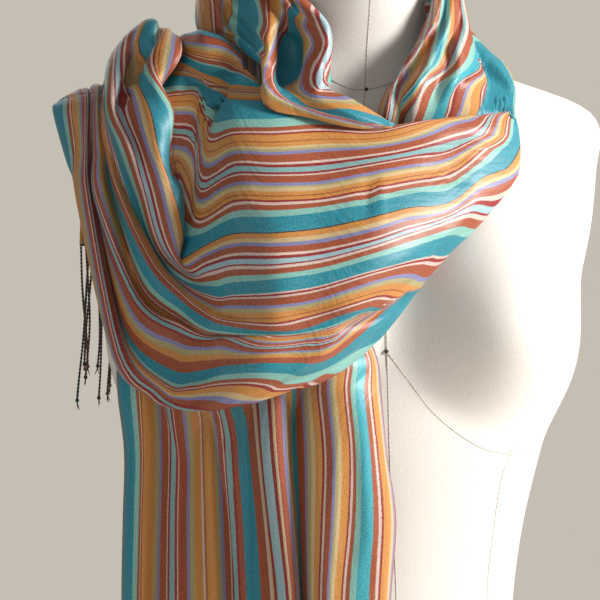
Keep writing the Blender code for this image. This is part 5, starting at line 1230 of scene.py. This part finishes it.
def canvas(name):
    """Plain woven linen canvas with slubs, on the form's UV map."""
    graph = Graph(name)
    weft = graph.noise(*CANVAS_YARN, 2.0, 0.6)
    warp = graph.noise(*reversed(CANVAS_YARN), 2.0, 0.6)
    slant = graph.math("MULTIPLY", graph.math("SUBTRACT", graph.along, graph.across), TWILL_REPEAT)
    twill = graph.math("MULTIPLY", graph.math("SINE", slant), TWILL_HEIGHT)
    weave = graph.math("ADD", graph.math("ADD", weft, warp), twill)
    colour = graph.ramp(graph.math("MULTIPLY", weave, 0.5), CANVAS_STOPS)
    graph.bump(weave, *CANVAS_BUMP)
    graph.surface({
        "Base Color": colour,
        "Roughness": 0.85,
        "Sheen Weight": 0.25,
        "Specular IOR Level": 0.25,
    })
    return graph.material


def seam_thread_and_groove_shade(name):
    """Stitched seam: short thread stitches with the painted shade of a thin groove between them, and dark
    thread knots.
    """
    graph = Graph(name)
    place = graph.math("FRACT", graph.math("MULTIPLY", graph.along, STITCHES_PER_METRE))
    stitch = graph.math("GREATER_THAN", place, STITCH_GAP)
    knot = graph.math("GREATER_THAN", graph.across, (SEAM_TINT + KNOT_TINT) / 2)
    # Painted groove shade between the stitches.
    thread = graph.mix(stitch, GROOVE_SHADE_COLOUR, STITCH_COLOUR)
    graph.surface({"Base Color": graph.mix(knot, thread, KNOT_COLOUR), "Roughness": 0.8})
    return graph.material


def cord_silk(name):
    """Twisted dark silk cord, brown to black with teal and rust plies."""
    graph = Graph(name)
    colour = graph.ramp(graph.across, CORD_STOPS, "CONSTANT")
    grain = graph.noise(*CORD_GRAIN)
    light = graph.math("ADD", graph.math("MULTIPLY", grain, 1.1), 0.45)
    graph.surface({
        "Base Color": graph.scale(colour, light),
        "Roughness": 0.55,
        "Sheen Weight": 0.2,
    })
    return graph.material


def tube(verts, faces, uvs, path, radii, sides, tint):
    """Round capped tube along a path added to a mesh."""
    path = np.asarray(path, float)
    tangent = np.gradient(path, axis=0)
    tangent /= np.maximum(np.linalg.norm(tangent, axis=1, keepdims=True), TINY)
    first = len(verts)
    length = 0.0
    for k, centre in enumerate(path):
        if k:
            length += np.linalg.norm(path[k] - path[k - 1])
        helper = np.array((1.0, 0.0, 0.0)) if abs(tangent[k][0]) < 0.8 else np.array((0.0, 1.0, 0.0))
        one = np.cross(tangent[k], helper)
        one /= np.linalg.norm(one)
        two = np.cross(tangent[k], one)
        for s in range(sides):
            angle = 2 * math.pi * s / sides
            verts.append(tuple(centre + (one * math.cos(angle) + two * math.sin(angle)) * radii[k]))
            uvs.append((tint, length * MM))
    for k in range(len(path) - 1):
        for s in range(sides):
            a = first + k * sides + s
            b = first + k * sides + (s + 1) % sides
            faces.append((a, b, b + sides, a + sides))
    last = first + (len(path) - 1) * sides
    faces.append(tuple(first + s for s in reversed(range(sides))))
    faces.append(tuple(last + s for s in range(sides)))


def fringe_piece(name, edge, cords, material):
    """Twisted two-ply cords with end knots and tufts, hanging from a narrow woven strip."""
    count, shortest, wave, seed = cords
    rng = np.random.default_rng(seed)
    steps = np.linalg.norm(np.diff(edge, axis=0), axis=1)
    marks = np.concatenate(([0.0], np.cumsum(steps)))

    def edge_point(mark):
        return np.array([np.interp(mark, marks, edge[:, k]) for k in range(3)])

    verts, faces, uvs = [], [], []
    strip_marks = np.linspace(STRIP_INSET, marks[-1] - STRIP_INSET, count * 3 + 1)
    line = np.array([edge_point(m) for m in strip_marks]) + np.array((0, 0, -STRIP_DROP))
    tube(verts, faces, uvs, line, [STRIP_RADIUS] * len(line), 6, STRIP_TINT)
    for m in np.linspace(CORD_INSET, marks[-1] - CORD_INSET, count):
        m = m + rng.uniform(-CORD_JITTER, CORD_JITTER)
        root = edge_point(m) + np.array((0, 0, -ROOT_DROP))
        length = FRINGE_DROP * rng.uniform(shortest, 1.0)
        lean = np.array((rng.normal(0, wave), rng.normal(0, wave * 0.6), 0.0))
        bow = np.array((rng.normal(0, CORD_BOW[0]), rng.normal(0, CORD_BOW[1]), 0.0))
        phase = rng.uniform(0, 6.28)
        rings = int(length / CORD_RING_STEP)
        t = np.linspace(0, 1, rings)
        path = root + t[:, None] * (lean + np.array((0, 0, -length)))
        sway = (np.sin(SWAY_TURN * t + phase) * t)[:, None] * np.array(CORD_SWAY)
        path += np.sin(np.pi * t)[:, None] * bow + sway
        twist = 2 * math.pi * t * length / PLY_PITCH + phase
        tint = rng.uniform(0.0, TINT_RANGE)
        for ply, shade in ((0.0, tint), (math.pi, (tint + PLY_TINT_STEP) % TINT_RANGE)):
            around = np.stack((np.cos(twist + ply), np.sin(twist + ply), np.zeros(rings)), axis=1)
            swell = PLY_RADIUS + PLY_SWELL * np.sin(SWELL_TURN * t + phase)
            tube(verts, faces, uvs, path + around * PLY_OFFSET, swell, 4, shade)
        knot = path[-1]
        turns = np.linspace(0, 1, KNOT_RINGS)
        knot_path = knot + np.outer(turns * KNOT_LENGTH - KNOT_LENGTH / 2, KNOT_LEAN)
        knot_radii = KNOT_THIN + KNOT_SWELL * np.sin(np.pi * np.clip(turns, 0.03, 0.97))
        tube(verts, faces, uvs, knot_path, knot_radii, 6, tint)
        for _ in range(TUFT_COUNT):
            aside = rng.normal(0, TUFT_SPREAD)
            ahead = rng.normal(0, TUFT_SPREAD)
            way = np.array((aside, ahead, -rng.uniform(*TUFT_LENGTHS)))
            tuft = knot + np.array((0, 0, -TUFT_DROP)) + np.outer(TUFT_MARKS, way)
            tube(verts, faces, uvs, tuft, TUFT_RADII, 3, (tint + TUFT_TINT_STEP) % TINT_RANGE)
    return mesh_piece(name, verts, faces, material, uvs)


def form_spot(tree, across, height):
    """Point of the form seen at a place of the photo, with its outward normal."""
    near = Vector(seen(across, height, RAY_OUT))
    far = Vector(seen(across, height, -RAY_OUT))
    hit, normal, _face, _distance = tree.ray_cast(near, (far - near).normalized())
    return hit, normal


def run_spots(tree, line, count):
    """Points on the form along a line given in photo places."""
    fine = through(range(len(line)), line, np.linspace(0, len(line) - 1, count))
    result = []
    for across, height in fine:
        hit, normal = form_spot(tree, across, height)
        if hit is not None:
            result.append((np.array(hit), np.array(normal)))
    return result


def seam_piece(name, tree, lines, material):
    """Thin stitched seam welts lying on the form, and the thread knots."""
    verts, faces, uvs = [], [], []
    for spots in lines:
        path = [hit + normal * SEAM_LIFT for hit, normal in spots]
        if len(path) > 3:
            tube(verts, faces, uvs, path, [SEAM_RADIUS] * len(path), 6, SEAM_TINT)
    for across, height in THREAD_KNOTS:
        hit, normal = form_spot(tree, across, height)
        if hit is not None:
            path = [np.array(hit) + np.array(normal) * lift for lift in KNOT_LIFTS]
            tube(verts, faces, uvs, path, THREAD_KNOT_RADII, 10, KNOT_TINT)
    return mesh_piece(name, verts, faces, material, uvs)


def build_form():
    """The canvas-covered form."""
    rings = form_rings(FORM_AROUND, FORM_STEP)
    verts, faces = closed_rings(rings)
    uv = []
    for ring in rings:
        start = 0.0
        for k, point in enumerate(ring):
            if k:
                start += math.dist(ring[k - 1], point)
            uv.append((start * MM, point[2] * MM))
    uv += [(0.0, 0.0)] * (len(verts) - len(uv))
    return mesh_piece("canvas_form", verts, faces, canvas("linen_canvas"), uv)


def cloth_nets(form_tree):
    """Nets of the cloth stretches, each pushed off the form and off the layers under it."""
    def off_form(net):
        return push(net, form_tree, CLOTH_OFF_FORM, FORM_REACH)

    def off_layers(net, *layers):
        for layer in layers:
            net = push(net, sheet_tree(layer), CLOTH_OFF_CLOTH, LAYER_REACH)
        return net

    tail = off_form(loft(list(TAIL_TOP) + level_sections(FRONT_TAIL), TAIL_ROWS, OTHER_PER_SPAN))
    tail = crease(tail, TAIL_CREASES)
    right = off_form(loft(LOOP_RIGHT, LOOP_ROWS, OTHER_PER_SPAN)[:, ::-1])
    right = off_form(crease(right, RIGHT_CREASES))
    cowl = off_layers(off_form(loft(COWL, COWL_ROWS, COWL_PER_SPAN)), tail, right)
    cowl = off_form(crease(cowl, COWL_CREASES))
    left = off_form(loft(LOOP_LEFT, LOOP_ROWS, OTHER_PER_SPAN)[:, ::-1])
    left = off_form(crease(left, LEFT_CREASES))
    left = off_layers(left, tail, right, cowl[COWL_FIRST_SECTION * COWL_PER_SPAN:])
    back = off_form(loft([BACK_SEAM] + level_sections(BACK_TAIL), BACK_ROWS, OTHER_PER_SPAN))
    return tail, right, cowl, left, back


def cowl_kept(i, j):
    """Whether a cell of the cowl's net is built."""
    section = i / COWL_PER_SPAN
    place = COWL_ROWS[j]
    return not (
        section < COWL_FIRST_SECTION
        or (section < TOP_FOLD_SECTION and place < TOP_FOLD_PLACE)
        or (section >= SHOULDER_SECTION and place < SHOULDER_PLACE)
        or (section < HEM_SECTION and place >= HEM_PLACE)
    )


def main():
    form_verts, form_faces = closed_rings(form_rings(TREE_AROUND, TREE_STEP))
    form_tree = BVHTree.FromPolygons(form_verts, form_faces)
    body = build_form()
    tail, right, cowl, left, back = cloth_nets(form_tree)

    cowl_silk = silk("cowl_silk", COWL_CHART)
    left_silk = silk("left_silk", LEFT_CHART)
    left_marks = stripe_marks(LEFT_STRIPES, LOOP_ROWS)
    right_silk = silk("right_silk", RIGHT_CHART)
    right_marks = stripe_marks(RIGHT_STRIPES, LOOP_ROWS)
    tail_marks = np.array(TAIL_ROWS)[None, :]
    back_marks = chart_places(BACK_ROWS, BACK_STRIPES)[None, :]
    pieces = {
        "cowl": cloth_piece("silk_cowl", cowl, cowl_marks(COWL_ROWS), cowl_silk, cowl_kept),
        "front_tail": cloth_piece("silk_front_tail", tail, tail_marks, silk("tail_silk", TAIL_CHART)),
        "neck_loop_left": cloth_piece("silk_loop_left", left, left_marks, left_silk),
        "neck_loop_right": cloth_piece("silk_loop_right", right, right_marks, right_silk),
        "back_tail": cloth_piece("silk_back_tail", back, back_marks, cowl_silk),
    }
    cords = cord_silk("fringe_cord")
    front_fringe = fringe_piece("fringe_front_cords", tail[-1], FRONT_FRINGE, cords)
    back_fringe = fringe_piece("fringe_back_cords", back[-1], BACK_FRINGE, cords)
    seams = form_seams(form_tree)

    for piece in list(pieces.values()) + [front_fringe, back_fringe, body, seams]:
        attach(piece, "root")
    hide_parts("form")
    for node, piece in pieces.items():
        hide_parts(node)
    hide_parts("fringe_front")
    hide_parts("fringe_back")
    stage()


def form_seams(form_tree):
    """Seams of the canvas cover: the photo's lines in front, and upright ones at the sides and back."""
    lines = [run_spots(form_tree, line, 60) for line in SEAM_LINES]
    for angle in SEAM_ANGLES:
        lines.append([])
        for height in np.linspace(*SEAM_HEIGHTS, 110):
            rough = Vector(form_point(height, math.radians(angle)))
            where, normal, _face, _distance = form_tree.find_nearest(rough)
            lines[-1].append((np.array(where), np.array(normal)))
    return seam_piece("canvas_seams", form_tree, lines, seam_thread_and_groove_shade("seam_thread_and_groove_shade"))


def stage():
    """Floor, soft lights, plain background and the camera of the photograph."""
    scene = bpy.context.scene
    verts = [(0.0, 0.0, FLOOR_LEVEL)]
    for k in range(FLOOR_SIDES):
        angle = 2 * math.pi * k / FLOOR_SIDES
        verts.append((FLOOR_RADIUS * math.cos(angle), FLOOR_RADIUS * math.sin(angle), FLOOR_LEVEL))
    faces = [(0, k + 1, (k + 1) % FLOOR_SIDES + 1) for k in range(FLOOR_SIDES)]
    floor_look = Graph("pale_floor")
    floor_look.surface({"Base Color": FLOOR_COLOUR, "Roughness": 0.9})
    mesh_piece("floor", verts, faces, floor_look.material)

    turn = math.radians(TURN_DEG)
    aim = Vector((math.sin(turn), math.cos(turn), 0.0))
    lens = bpy.data.cameras.new("camera")
    lens.lens = LENS_LENGTH
    lens.sensor_width = SENSOR_WIDTH
    camera = bpy.data.objects.new("camera", lens)
    camera.location = CAMERA_PLACE
    camera.rotation_euler = aim.to_track_quat("-Z", "Y").to_euler()
    scene.collection.objects.link(camera)
    scene.camera = camera

    for name, place, size, energy, colour in LIGHTS:
        lamp = bpy.data.lights.new(name, "AREA")
        lamp.energy = energy
        lamp.size = size
        lamp.color = colour
        light = bpy.data.objects.new(name, lamp)
        light.location = place
        light.rotation_euler = (Vector(LIGHT_AIM) - Vector(place)).to_track_quat("-Z", "Y").to_euler()
        scene.collection.objects.link(light)

    world = bpy.data.worlds.new("studio")
    world.use_nodes = True
    nodes = world.node_tree.nodes
    links = world.node_tree.links
    background = nodes["Background"]
    background.inputs[0].default_value = SKY_COLOUR
    background.inputs[1].default_value = SKY_STRENGTH
    wall_tone = nodes.new("ShaderNodeBackground")
    wall_tone.inputs[0].default_value = WALL_COLOUR
    wall_tone.inputs[1].default_value = 1.0
    choice = nodes.new("ShaderNodeMixShader")
    rays = nodes.new("ShaderNodeLightPath")
    links.new(rays.outputs["Is Camera Ray"], choice.inputs[0])
    links.new(background.outputs[0], choice.inputs[1])
    links.new(wall_tone.outputs[0], choice.inputs[2])
    links.new(choice.outputs[0], nodes["World Output"].inputs[0])
    scene.world = world
    scene.view_settings.view_transform = "Standard"


main()
